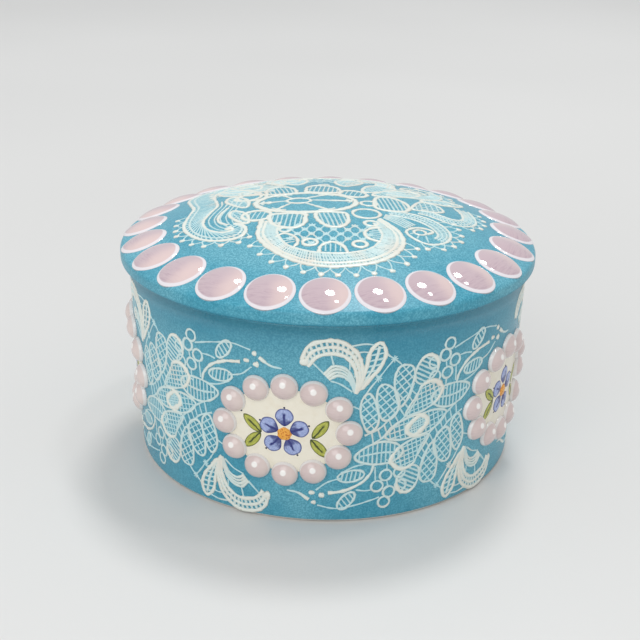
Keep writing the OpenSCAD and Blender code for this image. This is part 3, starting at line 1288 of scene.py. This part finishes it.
@dataclass
class Flower:
    """Five brushed petals, a stippled centre and four leaves, all in raised enamel."""

    medallion: Medallion
    drop_z: float = 0.0007
    reach: float = 0.0037
    petal: Point = (0.00245, 0.0023)
    centre: float = 0.0017
    leaf: Point = (0.0033, 0.0015)
    height: float = 0.00036
    seed_radius: float = 0.00032
    tip: float = 0.0023
    spread: tuple[Point, ...] = ((90, 1.1), (24, 0.96), (-60, 0.93), (-135, 0.95), (154, 1.02))

    def petals(self, shape: Shape) -> None:
        """Adds five petals, round-shouldered and a little notched.

        Args:
            shape: the mesh they join.
        """

        def outline(a: float) -> Point:
            """A petal's edge, narrow at its root."""
            notch = 1.0 - 0.07 * math.exp(-((math.remainder(a, 2 * math.pi) / 0.3) ** 2))
            pinch = 1.0 - 0.45 * max(0.0, -math.cos(a)) ** 1.5
            return (self.petal[0] * notch * math.cos(a), self.petal[1] * pinch * math.sin(a))

        drop = Drop(outline, self.height, rings=9, spokes=40, power=3.0)
        y = self.medallion.middle_z - self.drop_z
        for angle, stretch in self.spread:
            a = math.radians(angle)
            drop.add(shape, (self.reach * stretch * math.cos(a), y + self.reach * stretch * math.sin(a)), a)

    def button(self, shape: Shape) -> None:
        """Adds the flower's centre.

        Args:
            shape: the mesh it joins.
        """

        def outline(a: float) -> Point:
            """The centre's edge, a little uneven."""
            return (self.centre * (1 + 0.06 * math.cos(7 * a)) * math.cos(a),
                    self.centre * (1 + 0.06 * math.sin(5 * a)) * math.sin(a))

        drop = Drop(outline, self.height * 1.5, rings=8, spokes=36)
        drop.add(shape, (0.0, self.medallion.middle_z - self.drop_z))

    def leaves(self, shape: Shape) -> None:
        """Adds four pointed leaves, one towards each corner of the oval.

        Args:
            shape: the mesh they join.
        """

        def outline(a: float) -> Point:
            """A leaf's edge, pointed at both ends."""
            return (self.leaf[0] * math.cos(a),
                    self.leaf[1] * math.copysign(abs(math.sin(a)) ** 1.3, math.sin(a)))

        drop = Drop(outline, self.height * 0.8, rings=8, spokes=32, power=3.0)
        y = self.medallion.middle_z - self.drop_z
        for x, z, angle in ((7.8, 1.5, 52), (7.5, -3.0, -50), (-7.2, 1.6, 137), (-7.2, -2.4, 228)):
            drop.add(shape, (x * MM, y + z * MM), math.radians(angle))

    def seeds(self, shape: Shape) -> None:
        """Adds the tiny dark dots at the tips.

        Args:
            shape: the mesh they join.
        """
        drop = Drop(round_outline(self.seed_radius), self.height * 0.8, rings=4, spokes=12)
        y = self.medallion.middle_z - self.drop_z
        turns = [(self.reach * stretch + self.tip, math.radians(angle)) for angle, stretch in self.spread]
        tips = [(out * math.cos(turn), out * math.sin(turn)) for out, turn in turns]
        tips += [(0.0099, 0.0049), (0.0093, -0.0056), (-0.0098, 0.0042), (-0.0094, -0.0052)]
        for x, z in tips:
            drop.add(shape, (x, y + z))

    def build(self, number: int, finishes: dict[str, Material]) -> list[Piece]:
        """Makes the petals, the leaves, the centre and the tip dots as four pieces.

        Args:
            number: which medallion this is.
            finishes: an enamel for each of the four pieces, by name.

        Returns:
            The petals, the leaves, the centre and the tip dots.
        """
        adders = {"petals": self.petals, "leaves": self.leaves, "button": self.button, "seeds": self.seeds}
        return [self.medallion.laid(f"{name}_{number}", adder, finishes[name])
                for name, adder in adders.items()]


@dataclass
class WallLace:
    """The lace between two medallions; its lower left half is its upper right half turned round.

    The threads are drawn from the middle of the medallion on the left and shifted into place at the end.
    """

    middle: Point = (30.1, 22.9)
    shift: float = 8.65
    lace: LaceDrawing = field(default_factory=LaceDrawing)

    def crescents(self) -> None:
        """Draws the pierced crescent over the medallion and the solid one inside it."""
        outer = ((-4.9, 40.3), (-3.4, 43.5), (0.5, 44.9), (4, 44.3), (7, 41.5), (8.1, 37.5), (7.6, 34),
                 (6.8, 32.3))
        inner = ((-3.6, 38.8), (-1.5, 41.2), (2.5, 41.8), (5.5, 40), (6.9, 36.5), (6.9, 33), (6.8, 32.3))
        self.lace.tape(outer, inner, 1.0, 0.9, 0.65, 1.25)
        self.lace.dot((-4.4, 39.8), 1.0)
        outer = ((-0.1, 37), (1.8, 39), (4.8, 38), (6.4, 35), (6.9, 32.6))
        inner = ((0.9, 35.8), (3, 36.8), (5.2, 35.5), (6.5, 32.6))
        self.lace.between(outer, inner, (0.0, 0.33, 0.66, 1.0), 0.8, 1.0, 0.6)
        for a, b in (((1.3, 41.6), (1.9, 39)), ((5.3, 40.2), (5.3, 38)), ((-2.5, 39.6), (0, 37)),
                     ((6.2, 36.4), (7.4, 36.8))):
            self.lace.thread((a, b), 0.45)
        self.lace.thread(((1.2, 35.5), (3.6, 34.6), (6, 32.8)), 0.45)

    def feather(self) -> None:
        """Draws the feather leaf at the top and the star threads beside it."""
        edge = ((7.6, 34), (8.8, 38), (9.6, 42), (11.8, 44), (13, 41.5), (12, 38.5), (9.6, 35.5), (8, 33.5))
        self.lace.leaf(edge, 1.0, [(8, 1.25, 0.5)])
        self.lace.thread(((8, 34), (10.4, 38.5), (11.6, 43.2)), 0.7)
        stars = (((5.5, 43.6), (8.3, 43.9), (11, 43.4)), ((6.9, 41.9), (8.2, 42.1), (9.6, 41.8)),
                 ((15, 39.9), (13.9, 40.7), (12.8, 41.8)), ((15, 39.9), (16, 39.1), (17, 38)),
                 ((15, 39.9), (13.2, 37.8), (11.6, 35.6)), ((11.6, 35.6), (10.3, 34.1), (9.2, 32.4)),
                 ((11.6, 35.6), (11.2, 36.4), (10.7, 37.2)), ((6.2, 29.3), (7.1, 28.9), (8, 28.4)))
        for points in stars:
            self.lace.thread(points, 0.42)
        self.lace.knot((15, 39.9), 0.8, 0.5)
        self.lace.knot((11.6, 35.6), 0.8, 0.5)

    def fans(self) -> None:
        """Draws the netted leaves that fan out from the ladder."""
        net = [(38, 1.45, 0.38), (128, 1.45, 0.38)]
        fine = [(12, 1.15, 0.34), (100, 1.15, 0.34)]
        shapes = (
            (((9.3, 23.5), (8.1, 27), (8, 30), (8.9, 31.8), (9.8, 32.2), (11, 30.5), (12, 27), (11.9, 24.3),
              (10.5, 22.8)), net, None),
            (((13.6, 25.2), (12.3, 26.5), (11.5, 30), (11.6, 33), (12.6, 34.1), (14, 33.8), (15.8, 32),
              (16.6, 29.5),
              (16.2, 27), (15, 25.7)), net, None),
            (((17, 28.2), (15.7, 31.5), (15.3, 35), (16, 37.5), (17.5, 38.2), (19.3, 37.6), (20, 35.5),
              (19.6, 33),
              (18.5, 30)), net, None),
            (((20.3, 34), (20.4, 37), (22, 39.3), (24, 39.5), (25.6, 38), (25.7, 35.5), (24.5, 34),
              (22.5, 32.7)),
             [(-30, 1.05, 0.5)], (60, 0.5)),
            (((18.2, 26), (20.9, 30.5), (21.8, 32.3), (23.5, 33.2), (25.5, 33), (27.4, 31.2), (27.5, 30.3),
              (26, 28),
              (23.5, 26.6), (21, 26)), fine, (40, 0.7)),
            (((13.8, 21), (15, 23.2), (18, 24.9), (21, 25.6), (23.5, 24.6), (24, 23.2), (22.5, 21.5),
              (20, 20.3), (17, 20)),
             fine, (0, 0.8)),
            (((7, 16.8), (9, 18.8), (12, 20), (15, 19.8), (17.3, 18.6), (18.2, 17), (17.2, 15.5),
              (14.5, 14.6), (11, 14.7),
              (8, 15.6)), [(90, 1.05, 0.38)], None),
        )
        for outline, nets, heavy in shapes:
            self.lace.leaf(outline, 0.62, nets, heavy)
        self.lace.thread(((8, 16.8), (12.5, 17.4), (17.5, 17)), 0.5)
        self.lace.thread(((18.2, 17), (19, 16.9), (19.9, 17.2)), 0.5)

    def ladder(self) -> None:
        """Draws the two long threads and their rungs."""
        upper = ((9, 22), (12.5, 23.6), (14.5, 25.5), (17.5, 28.5), (19, 30.5), (20, 33.5))
        lower = ((9.5, 19), (13, 21), (15.5, 23.2), (18.5, 26), (20.5, 29), (21.5, 32))
        self.lace.tape(upper, lower, 0.5, 0.0, 0.4, 1.9)
        self.lace.thread(((27.6, 30.6), (28.2, 30.6), (28.8, 30.2)), 0.4)

    def berries(self) -> None:
        """Draws the small rings and their stalks."""
        rings = ((14.4, 11.5), (17.7, 11.8), (12.4, 8.9), (15.3, 7.1), (18.1, 8.3), (14.2, 4.6))
        for centre in rings:
            self.lace.ring(centre, 1.4, 0.6)
        for a, b in ((0, 1), (0, 2), (2, 3), (3, 4), (4, 1), (0, 3), (3, 5)):
            (x0, y0), (x1, y1) = rings[a], rings[b]
            away = math.dist(rings[a], rings[b])
            u, v = 1.4 * (x1 - x0) / away, 1.4 * (y1 - y0) / away
            self.lace.thread([(x0 + u, y0 + v), ((x0 + x1) / 2, (y0 + y1) / 2 + 0.1), (x1 - u, y1 - v)],
                             0.36)
        for a, b in (((14.6, 14.4), (14.6, 12.9)), ((17.8, 15), (18, 13)), ((11.8, 14), (12, 10.4))):
            self.lace.thread((a, b), 0.4)

    def sprig(self) -> None:
        """Draws the curling stem under the medallion with its leaves and dots."""
        stem = ((11.4, 14.6), (10.8, 12.5), (8.5, 10), (5, 8.4), (1.2, 7.8))
        self.lace.thread(stem, 1.2, start=0.55, stop=0.8)
        self.lace.leaf(oval((6.3, 12.0), 3.1, 1.45, 8), 0.6, [(80, 0.95, 0.4)])
        self.lace.leaf(oval((5.3, 5.7), 2.7, 1.35, 50), 0.6, [(125, 0.95, 0.4)])
        for x, y, r in ((-2.5, 7.8, 0.75), (-0.3, 7.2, 0.7), (-2.1, 5.3, 0.6)):
            self.lace.dot((x, y), r)
        self.lace.thread(((-8.2, 8), (-5.6, 7.6), (-3.2, 6)), 0.9, start=0.4, stop=1.0)
        for points in (((4, 13), (7, 14.4), (10, 15)), ((7.5, 8.4), (9.3, 8), (11, 8.1)),
                       ((-1.2, 4.6), (3.1, 3.8), (8, 4.6), (13, 6)),
                       ((-1.5, 8.5), (1, 10.6), (4, 11.5))):
            self.lace.thread(points, 0.42)

    def drawing(self) -> LaceDrawing:
        """The whole repeat."""
        for draw in (self.crescents, self.feather, self.fans, self.ladder, self.berries, self.sprig):
            draw()
        lace = self.lace.shaped(lambda x, y: (x + self.shift, y))
        lace.join(lace.turned(180, self.middle))
        return lace


@dataclass
class CrownLace:
    """The lace on the lid: an oval eye among lobes and rings, spirals, and fans edged with picots."""

    front_turn: float = 10.5
    spread: float = 0.981
    pull: float = 0.850
    fall: float = -8.44
    bow: float = 0.0032
    lace: LaceDrawing = field(default_factory=LaceDrawing)

    def eye(self) -> None:
        """Draws the oval eye and its spokes."""
        self.lace.ring((-5.5, 5.7), 12.2, 1.7, 8.6)
        self.lace.ring((-7.2, 6.6), 2.9, 0.9, 2.3)
        for angle, root in ((8, 3.0), (62, 2.5), (122, 2.5), (182, 3.0), (232, 2.5), (300, 2.6)):
            a = math.radians(angle)
            x, y = math.cos(a), math.sin(a)
            end = (-5.5 + 11.4 * x, 5.7 + 7.9 * y)
            self.lace.thread([(-7.2 + root * x, 6.6 + (root - 0.4) * y), (-6.4 + 7 * x, 6.1 + 5 * y), end],
                             0.75, start=0.8, stop=1.4)
            self.lace.thread([(end[0] - 2.2 * y - 1.2 * x, end[1] + 1.6 * x - 0.8 * y),
                              (end[0] - 0.5 * x, end[1] - 0.5 * y),
                              (end[0] + 2.2 * y - 1.2 * x, end[1] - 1.6 * x - 0.8 * y)], 0.7)
        self.lace.dot((-14.5, 5.7), 1.0)

    def lobes(self) -> None:
        """Draws the hatched lobes and rings round the eye."""
        self.lace.leaf([(-13.5, -4), (-13.6, -8), (-12.5, -11), (-9.5, -12.8), (-7, -12.5), (-5.5, -10),
                        (-5.4, -7), (-6, -4)], 1.2, [(86, 1.2, 0.45)])
        self.lace.leaf([(-2.5, -3), (-2.4, -8), (0, -12), (3, -12), (4.6, -9), (4.5, -5), (3.5, -3)], 1.2,
                       [(100, 1.1, 0.45)])
        for x, y, r, w in ((-17, -4, 3.5, 1.2), (9, -2.8, 3.3, 1.0), (10, -9.3, 1.6, 0.9),
                           (-9.8, -13.9, 1.3, 0.8)):
            self.lace.ring((x, y), r, w)
        self.lace.hatch([(-19, -6), (-15, -6), (-14.5, -2), (-19.5, -2)], 80, 1.2, 0.4)

    def side_lobe(self) -> None:
        """Draws the big hatched lobe right of the eye and the rings on either side."""
        self.lace.ring((-19, 12.5), 3.6, 1.1)
        self.lace.ring((9.8, 5.5), 2.0, 0.9)
        self.lace.leaf([(11.6, 2), (11.2, 7), (12, 12), (15.5, 13), (18.6, 9.5), (19.6, 5), (18.5, 1.5),
                        (15, 0.6)], 1.2, [(98, 1.15, 0.5)])

    def fan(self, outline: Sequence[Point]) -> None:
        """Draws the front fan's border, ladder band, arches and knotted net.

        Args:
            outline: places that the fan's outer border passes through.
        """
        self.lace.thread(outline, 1.3)
        inner = [(-11.2, -9.5), (-11.6, -16), (-9.3, -21.8), (-5, -25), (0, -26), (5, -25.6), (10, -22.6),
                 (12.4, -16), (10.6, -9)]
        self.lace.thread(inner, 0.8)
        self.lace.between(outline, inner, (0.26,), 1.0)
        self.lace.between(outline, inner, (0.5, 0.75), 0.5)
        self.lace.rungs(outline, inner, 0.8, 0.55)
        for arch in (((-12, -18), (-10, -16), (-7.5, -18), (-6.8, -21), (-8, -24)),
                     ((-2, -25.6), (-1.5, -22.5), (1, -20.6), (3.5, -22.5), (4.5, -25.6)),
                     ((12, -19.5), (9.2, -18), (8.4, -15), (9.8, -12.5), (12, -11.5))):
            self.lace.thread(arch, 0.95)
        self.lace.hatch([(-11, -18.5), (-8, -18), (-7.6, -21), (-9.4, -22)], 20, 1.1, 0.4)
        self.lace.hatch([(-1.4, -25), (-0.6, -22.4), (1, -21.4), (2.8, -22.4), (3.8, -25)], 90, 1.1, 0.4)
        self.lace.hatch([(12, -18.6), (9.6, -17), (9.6, -14), (12, -12.6)], 0, 1.1, 0.4)
        knots = [(step * 3.3 + 1.65 * (row % 2) - 0.4, -11.4 - 2.5 * row)
                 for row, steps in enumerate(((-2, 3), (-3, 2), (-2, 3), (-3, 2), (-1, 1)))
                 for step in range(steps[0], steps[1] + 1)]
        for knot in knots:
            self.lace.knot(knot, 0.85, 0.7, 3, 30)
        for i, first in enumerate(knots):
            for second in knots[i + 1:]:
                if math.dist(first, second) < 3.2:
                    middle = ((first[0] + second[0]) / 2, (first[1] + second[1]) / 2)
                    self.lace.thread([first, middle, second], 0.42)
        self.lace.ring((-4, -20.8), 1.7, 1.0)
        self.lace.ring((7.2, -21.2), 1.6, 1.0)

    def left_spiral(self) -> None:
        """Draws the feathered spiral on the left with its picots."""
        band = [(-22, 41), (-29, 36), (-34, 29), (-36, 22), (-35, 15), (-33.4, 8), (-34, 2), (-34.5, -5),
                (-33.5, -10), (-30.5, -15), (-27, -17.5), (-23, -18), (-20, -16.5), (-19, -13), (-20, -10),
                (-22, -8.4)]
        inner = [(-20, 36), (-25, 31), (-28.6, 25), (-29, 18), (-28, 12), (-27.4, 7), (-28.6, 2),
                 (-29.8, -4), (-29.2, -8.6), (-27.4, -11.6), (-25.5, -13), (-23.6, -13.4), (-22.2, -12.6),
                 (-22, -11.6), (-22.6, -10.6), (-23, -10.2)]
        self.lace.thread(band, 1.5, start=0.5, stop=0.8)
        self.lace.thread(inner, 0.9)
        self.lace.between(band, inner, (0.22,), 0.6)
        self.lace.rungs(band, inner, 1.5, 0.42)
        feather = [(-24.5, 4), (-26, -1), (-26, -6), (-23.5, -9.2)]
        self.lace.between(inner[4:12], [(-21, 10), (-22, 4), (-23, -2), (-22.5, -7), (-21.5, -9.5)],
                          (0.2, 0.4, 0.6, 0.8, 1.0), 0.62, 0.9, 0.6)
        self.lace.thread(feather, 0.9)
        self.lace.dot((-23, -11.4), 1.1)
        self.lace.picots(band, [(-36.6, -0.5), (-36.5, -4.5), (-36.2, -8.5), (-35.6, -12.2), (-33.8, -15.6),
                                (-31.3, -18.5), (-28.2, -20.3), (-24.2, -20.6), (-20.2, -19.8),
                                (-17.9, -17.2)], 0.72, 0.4)

    def right_spiral(self) -> None:
        """Draws the spiral on the right with its ring and picots."""
        band = [(14, 1), (20, 0), (25, -3), (28, -8), (28.5, -13), (26.5, -17), (23, -18.5), (19.5, -16),
                (18, -12.5), (20, -9.8), (23, -9.5), (24.5, -11), (22.9, -12.9)]
        inner = [(14.5, -2.4), (18.5, -3.4), (22, -5.6), (24.6, -9), (25.6, -12.6), (24.6, -15)]
        self.lace.thread(band, 1.5, start=0.5, stop=0.6)
        self.lace.thread(inner, 0.7)
        self.lace.between(band[:6], inner, (0.3, 0.65), 0.5)
        self.lace.rungs(band[:6], inner, 1.1, 0.45)
        self.lace.between([(13.5, -2.6), (17, -4), (20.4, -8)], [(13, -5), (15, -7), (18.2, -10.6)],
                          (0.0, 0.25, 0.5, 0.75, 1.0), 0.55)
        self.lace.ring((21.3, -12.2), 1.5, 0.8)
        for x, y, u, v in ((21, -14, 20.4, -16), (22.6, -14, 23, -17.6), (19.8, -13, 18.8, -13.6)):
            self.lace.thread([(x, y), ((x + u) / 2, (y + v) / 2), (u, v)], 0.42)
        self.lace.picots(band, [(30.2, -3.2), (31, -6.5), (31.4, -10.6), (31, -14.4), (28.9, -17.8),
                                (26.3, -20.3), (22.6, -21)], 0.72, 0.4)

    def side_fan(self) -> None:
        """Draws the netted fan at the right."""
        band = [(21.5, 1.2), (24, 0.4), (26, -1), (30, -3.6), (34, -2.5), (36, 1), (36, 6.5), (35, 12)]
        inner = [(22.5, 4.6), (25, 4), (27.4, 2.2), (30, 0.6), (32.2, 1.4), (33, 4), (32.8, 8),
                 (31.6, 12.5)]
        self.lace.thread(band, 1.5, start=0.5, stop=0.5)
        self.lace.thread(inner, 0.8)
        self.lace.between(band, inner, (0.35, 0.7), 0.5)
        self.lace.rungs(band, inner, 1.1, 0.45)
        self.lace.leaf([(20.6, 4), (21.2, 9), (23, 12.6), (26, 12), (28, 8.8), (27.4, 5)], 0.9,
                       [(94, 1.3, 0.45), (10, 1.8, 0.4)])
        self.lace.picots(band, [(34.6, -5), (36.9, -2.2), (38.2, 1.2), (38.4, 5.4), (37.8, 9.6)], 0.7, 0.4)

    def fillers(self) -> None:
        """Draws the netted leaves that fill the ground round the eye."""
        for root, tip, half in (((11, 14), (23, 23), 3.4), ((9, 17), (16, 30), 3.4),
                                ((23, 14), (34, 18), 2.6), ((4, 24), (6, 38), 3.4),
                                ((-8, 26), (-10, 40), 3.4), ((-18, 22), (-24, 35), 3.4),
                                ((-17, 15), (-28, 24), 3.2), ((-20, 3), (-24.5, 15), 2.4),
                                ((-19, -9), (-23, 1), 1.9)):
            x, y = tip[0] - root[0], tip[1] - root[1]
            side = half / math.hypot(x, y)
            outline = [(root[0] + x * along - y * side * out, root[1] + y * along + x * side * out)
                       for along, out in ((0, 0), (0.3, 0.8), (0.7, 1), (1, 0), (0.7, -1), (0.3, -0.8))]
            angle = math.degrees(math.atan2(y, x))
            self.lace.leaf(outline, 1.0, [(angle, 1.2, 0.42), (angle + 80, 1.3, 0.4)])

    def front_fan(self) -> None:
        """Draws the big fan at the front with its picots."""
        border = [(-15.5, -8), (-16, -16), (-13.8, -22), (-10, -27), (-5, -30.5), (1, -31.8), (6, -31),
                  (11, -29), (15, -25), (17, -20), (16.5, -14), (14, -9), (12, -6)]
        self.fan(border)
        self.lace.picots(border, [(-17.5, -22), (-15, -26.2), (-12.3, -29.8), (-9, -32), (-5.2, -34.2),
                                  (-1.3, -35), (2.3, -35.2), (6.3, -35), (10.2, -34), (14.2, -32.5),
                                  (17.5, -29), (19.3, -25.5), (20.2, -21.5)], 0.72, 0.4)

    def on_dome(self, x: float, y: float) -> Point:
        """Where a place of the drawing lies once the drawing hangs evenly from the dome's middle."""
        return (self.spread * x, self.fall + self.pull * y + self.bow * x * x)

    def drawing(self) -> LaceDrawing:
        """The whole lid: what faces the front, leaves behind the eye, and motifs turned round to the back."""
        motifs = (self.eye, self.lobes, self.fillers, self.side_lobe, self.left_spiral, self.side_fan,
                  self.front_fan, self.right_spiral)
        parts = []
        for draw in motifs:
            self.lace = LaceDrawing()
            draw()
            parts.append(self.lace.shaped(self.on_dome))
        lace = LaceDrawing()
        for part in parts:
            lace.join(part)
        lobes, fan, spiral = (parts[motifs.index(draw)]
                              for draw in (self.lobes, self.front_fan, self.right_spiral))
        lace.join(lobes.turned(180, self.on_dome(-5.5, 5.7)))
        lace.join(fan.turned(178))
        lace.join(spiral.turned(176))
        lace.join(spiral.turned(170, flip=True).turned(8))
        return lace.turned(self.front_turn)


# ---------------------------------------------------------------- studio

@dataclass(frozen=True)
class Lamp:
    """A round soft light, in the direction it hangs as seen from the camera's side."""

    name: str
    direction: tuple[float, float, float]
    distance: float
    size: float
    watts: float


@dataclass(frozen=True)
class Studio:
    """A pale floor, soft lights and the camera that looks a little down on the box."""

    front_turn: float = 10.5
    focal_mm: float = 64.38
    distance: float = 0.2659
    height: float = 0.13846
    pitch: float = 22.212
    yaw: float = -0.348
    roll: float = 0.907
    aim_z: float = 0.03
    floor_half_width: float = 3.0
    floor_dark: Colour = (0.66, 0.66, 0.65)
    floor_light: Colour = (0.70, 0.70, 0.69)
    surroundings: float = 0.66
    lamps: tuple[Lamp, ...] = (
        Lamp("main_light", (0.100, 0.375, 0.920), distance=1.6, size=0.34, watts=8.0),
        Lamp("small_light", (0.292, 0.085, 0.952), distance=1.6, size=0.19, watts=2.0),
        Lamp("front_fill", (-0.35, -0.85, 0.55), distance=1.2, size=1.0, watts=4.5),
    )

    def turned(self, x: float, y: float, z: float) -> Vector:
        """A direction given in front of the camera, turned into the box's frame."""
        return Matrix.Rotation(math.radians(self.front_turn), 3, "Z") @ Vector((x, y, z))

    def camera(self) -> None:
        """Makes the camera."""
        data = bpy.data.cameras.new("camera")
        data.lens, data.sensor_width = self.focal_mm, 36.0
        data.clip_start, data.clip_end = 0.01, 20.0
        eye = bpy.data.objects.new("camera", data)
        yaw, pitch, roll = (math.radians(a) for a in (self.yaw, self.pitch, self.roll))
        ahead = Vector((math.sin(yaw) * math.cos(pitch), math.cos(yaw) * math.cos(pitch), -math.sin(pitch)))
        level = ahead.cross(Vector((0, 0, 1))).normalized()
        over = level.cross(ahead)
        right = level * math.cos(roll) + over * math.sin(roll)
        up = over * math.cos(roll) - level * math.sin(roll)
        frame = Matrix((right, up, -ahead)).transposed()
        turned = Matrix.Rotation(math.radians(self.front_turn), 3, "Z") @ frame
        eye.matrix_world = Matrix.Translation(self.turned(0, -self.distance, self.height)) @ turned.to_4x4()
        bpy.context.scene.collection.objects.link(eye)
        bpy.context.scene.camera = eye

    def light(self, lamp: Lamp) -> None:
        """Hangs one lamp so that it faces the box.

        Args:
            lamp: what to hang, and where.
        """
        data = bpy.data.lights.new(lamp.name, "AREA")
        data.shape = "DISK"
        data.size, data.energy = lamp.size, lamp.watts
        light = bpy.data.objects.new(lamp.name, data)
        aim = Vector((0, 0, self.aim_z))
        light.location = aim + self.turned(*lamp.direction).normalized() * lamp.distance
        light.rotation_euler = (aim - light.location).to_track_quat("-Z", "Y").to_euler()
        bpy.context.scene.collection.objects.link(light)

    def build(self) -> None:
        """Lays the floor and sets the lights and the surroundings."""
        shape = bmesh.new()
        bmesh.ops.create_grid(shape, x_segments=8, y_segments=8, size=self.floor_half_width)
        mesh = bpy.data.meshes.new("floor")
        shape.to_mesh(mesh)
        shape.free()
        floor = mesh_object("floor", mesh)
        material, nodes, bsdf = shader("studio_floor")
        place = nodes.place()
        tone = nodes.span(nodes.noise(place, 2.0).outputs[0], 0.3, 0.7)
        nodes.feed(bsdf.inputs["Base Color"], nodes.blend(tone, self.floor_dark, self.floor_light))
        bsdf.inputs["Roughness"].default_value = 0.5
        mesh.materials.append(material)
        world = bpy.data.worlds.new("studio")
        world.use_nodes = True
        shine = world.node_tree.nodes["Background"]
        shine.inputs["Color"].default_value = (0.98, 0.99, 1.0, 1.0)
        shine.inputs["Strength"].default_value = self.surroundings
        bpy.context.scene.world = world
        for lamp in self.lamps:
            self.light(lamp)
        bpy.context.scene.view_settings.view_transform = "Standard"


# ---------------------------------------------------------------- assembly

def paint(red: int, green: int, blue: int) -> Colour:
    """A display colour, 0 to 255, as the linear colour that shaders take.

    Args:
        red: from 0 to 255.
        green: from 0 to 255.
        blue: from 0 to 255.

    Returns:
        The linear colour.
    """
    def linear(value: float) -> float:
        """One channel."""
        return value / 12.92 if value < 0.04045 else ((value + 0.055) / 1.055) ** 2.4
    return (linear(red / 255), linear(green / 255), linear(blue / 255))


def attach(piece: Piece, body: str, slot: str, *nodes: str) -> None:
    """Rides a piece on its body and lets it stand for its nodes by hiding them.

    Args:
        piece: the finished piece.
        body: the body it rides on.
        slot: not used.
        nodes: the nodes it stands for, if any.
    """
    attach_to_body(piece, body)
    if nodes:
        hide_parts(*nodes)
    LOG.info("%s: %d faces, on %s", piece.name, len(piece.data.polygons), body)


def main() -> None:
    """Builds the trinket box piece by piece."""
    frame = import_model()
    studio = Studio()
    studio.camera()
    studio.build()
    body_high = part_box("box_body")[1]
    lid_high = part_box("lid")[1]
    wall = WallForm(body_high[0], body_high[2])
    crown = CrownForm(lid_high[0], body_high[2], lid_high[2])
    attach(Body(wall).build(), "box", "body_glaze", "box_body")
    attach(Lid(crown).build(), "lid", "lid_glaze", "lid")

    # Each stone's third colour is its creamier side, partly its own tint and partly painted light.
    pink = StoneEnamel("pink_stone", paint(198, 177, 184), paint(166, 138, 156), paint(226, 202, 198),
                       paint(236, 232, 236), 0.84, 0.5)
    pearl = StoneEnamel("grey_pearl", paint(214, 196, 193), paint(192, 170, 172), paint(224, 208, 202),
                        paint(230, 228, 226), 0.86, 0.5,
                        dot=(0.0, 0.36), dot_radius=0.15)
    stone_finish, pearl_finish = pink.material(), pearl.material()
    stones = LidStones(crown)
    for node in sorted(name for name in frame["nodes"] if name.startswith("cabochon_")):
        attach(stones.build(node, stone_finish), "lid", "cabochon", node)

    cream = SpottedEnamel("cream_ground", paint(238, 232, 216), paint(233, 225, 206), 500.0, 0.4,
                          0.8).material()
    finishes = {
        "petals": BrushEnamel("petal_blue", paint(140, 156, 205), paint(178, 190, 228), paint(40, 48, 118),
                              -0.02, 0.15, 0.74).material(),
        "leaves": BrushEnamel("leaf_green", paint(146, 154, 58), paint(204, 204, 96), paint(60, 70, 28),
                              -0.60, 0.18, 0.68).material(),
        "seeds": SpottedEnamel("seed_navy", paint(30, 34, 60), paint(52, 58, 96), 2600.0).material(),
        "button": SpottedEnamel("button_orange", paint(238, 170, 66), paint(196, 104, 30),
                                2600.0).material(),
    }
    flat = ReliefTree("enamel_on_wall", on_wall, {"Foot Radius": wall.foot_radius, "Slope": wall.slope,
                                                  "Drawing Radius": WALL_DRAWING_RADIUS, "Turn": 0.0},
                      threads=False).build()
    count = sum(1 for name in frame["nodes"] if name.startswith("pearls_"))
    for number in range(1, count + 1):
        medallion = Medallion(wall, flat, 2 * math.pi * (number - 1) / count)
        attach(medallion.reserve(number, cream), "box", "flower")
        attach(medallion.pearls(number, pearl_finish), "box", "pearl", f"pearls_{number}")
        petals, *others = Flower(medallion).build(number, finishes)
        attach(petals, "box", "flower", f"flower_{number}")
        for piece in others:
            attach(piece, "box", "flower")

    enamel = LaceEnamel().material()
    wall_tree = ReliefTree("lace_on_wall", on_wall,
                           {**LACE_THREADS, "Foot Radius": wall.foot_radius, "Slope": wall.slope,
                            "Drawing Radius": WALL_DRAWING_RADIUS}).build()
    crown_tree = ReliefTree("lace_on_crown", on_crown,
                            {**LACE_THREADS, "Ball Radius": crown.ball,
                             "Ball Height": crown.ball_z}).build()
    source = WallLace().drawing().mesh("wall_lace_drawing")
    attach(settle("wall_lace", source, wall_tree, {"Copies": count, "Finish": enamel}), "box", "body_glaze")
    source = CrownLace().drawing().mesh("crown_lace_drawing")
    attach(settle("crown_lace", source, crown_tree, {"Copies": 1, "Finish": enamel}), "lid", "lid_glaze")


if __name__ == "__main__":
    logging.basicConfig(level=logging.INFO, format="%(message)s", stream=sys.stdout)
    main()
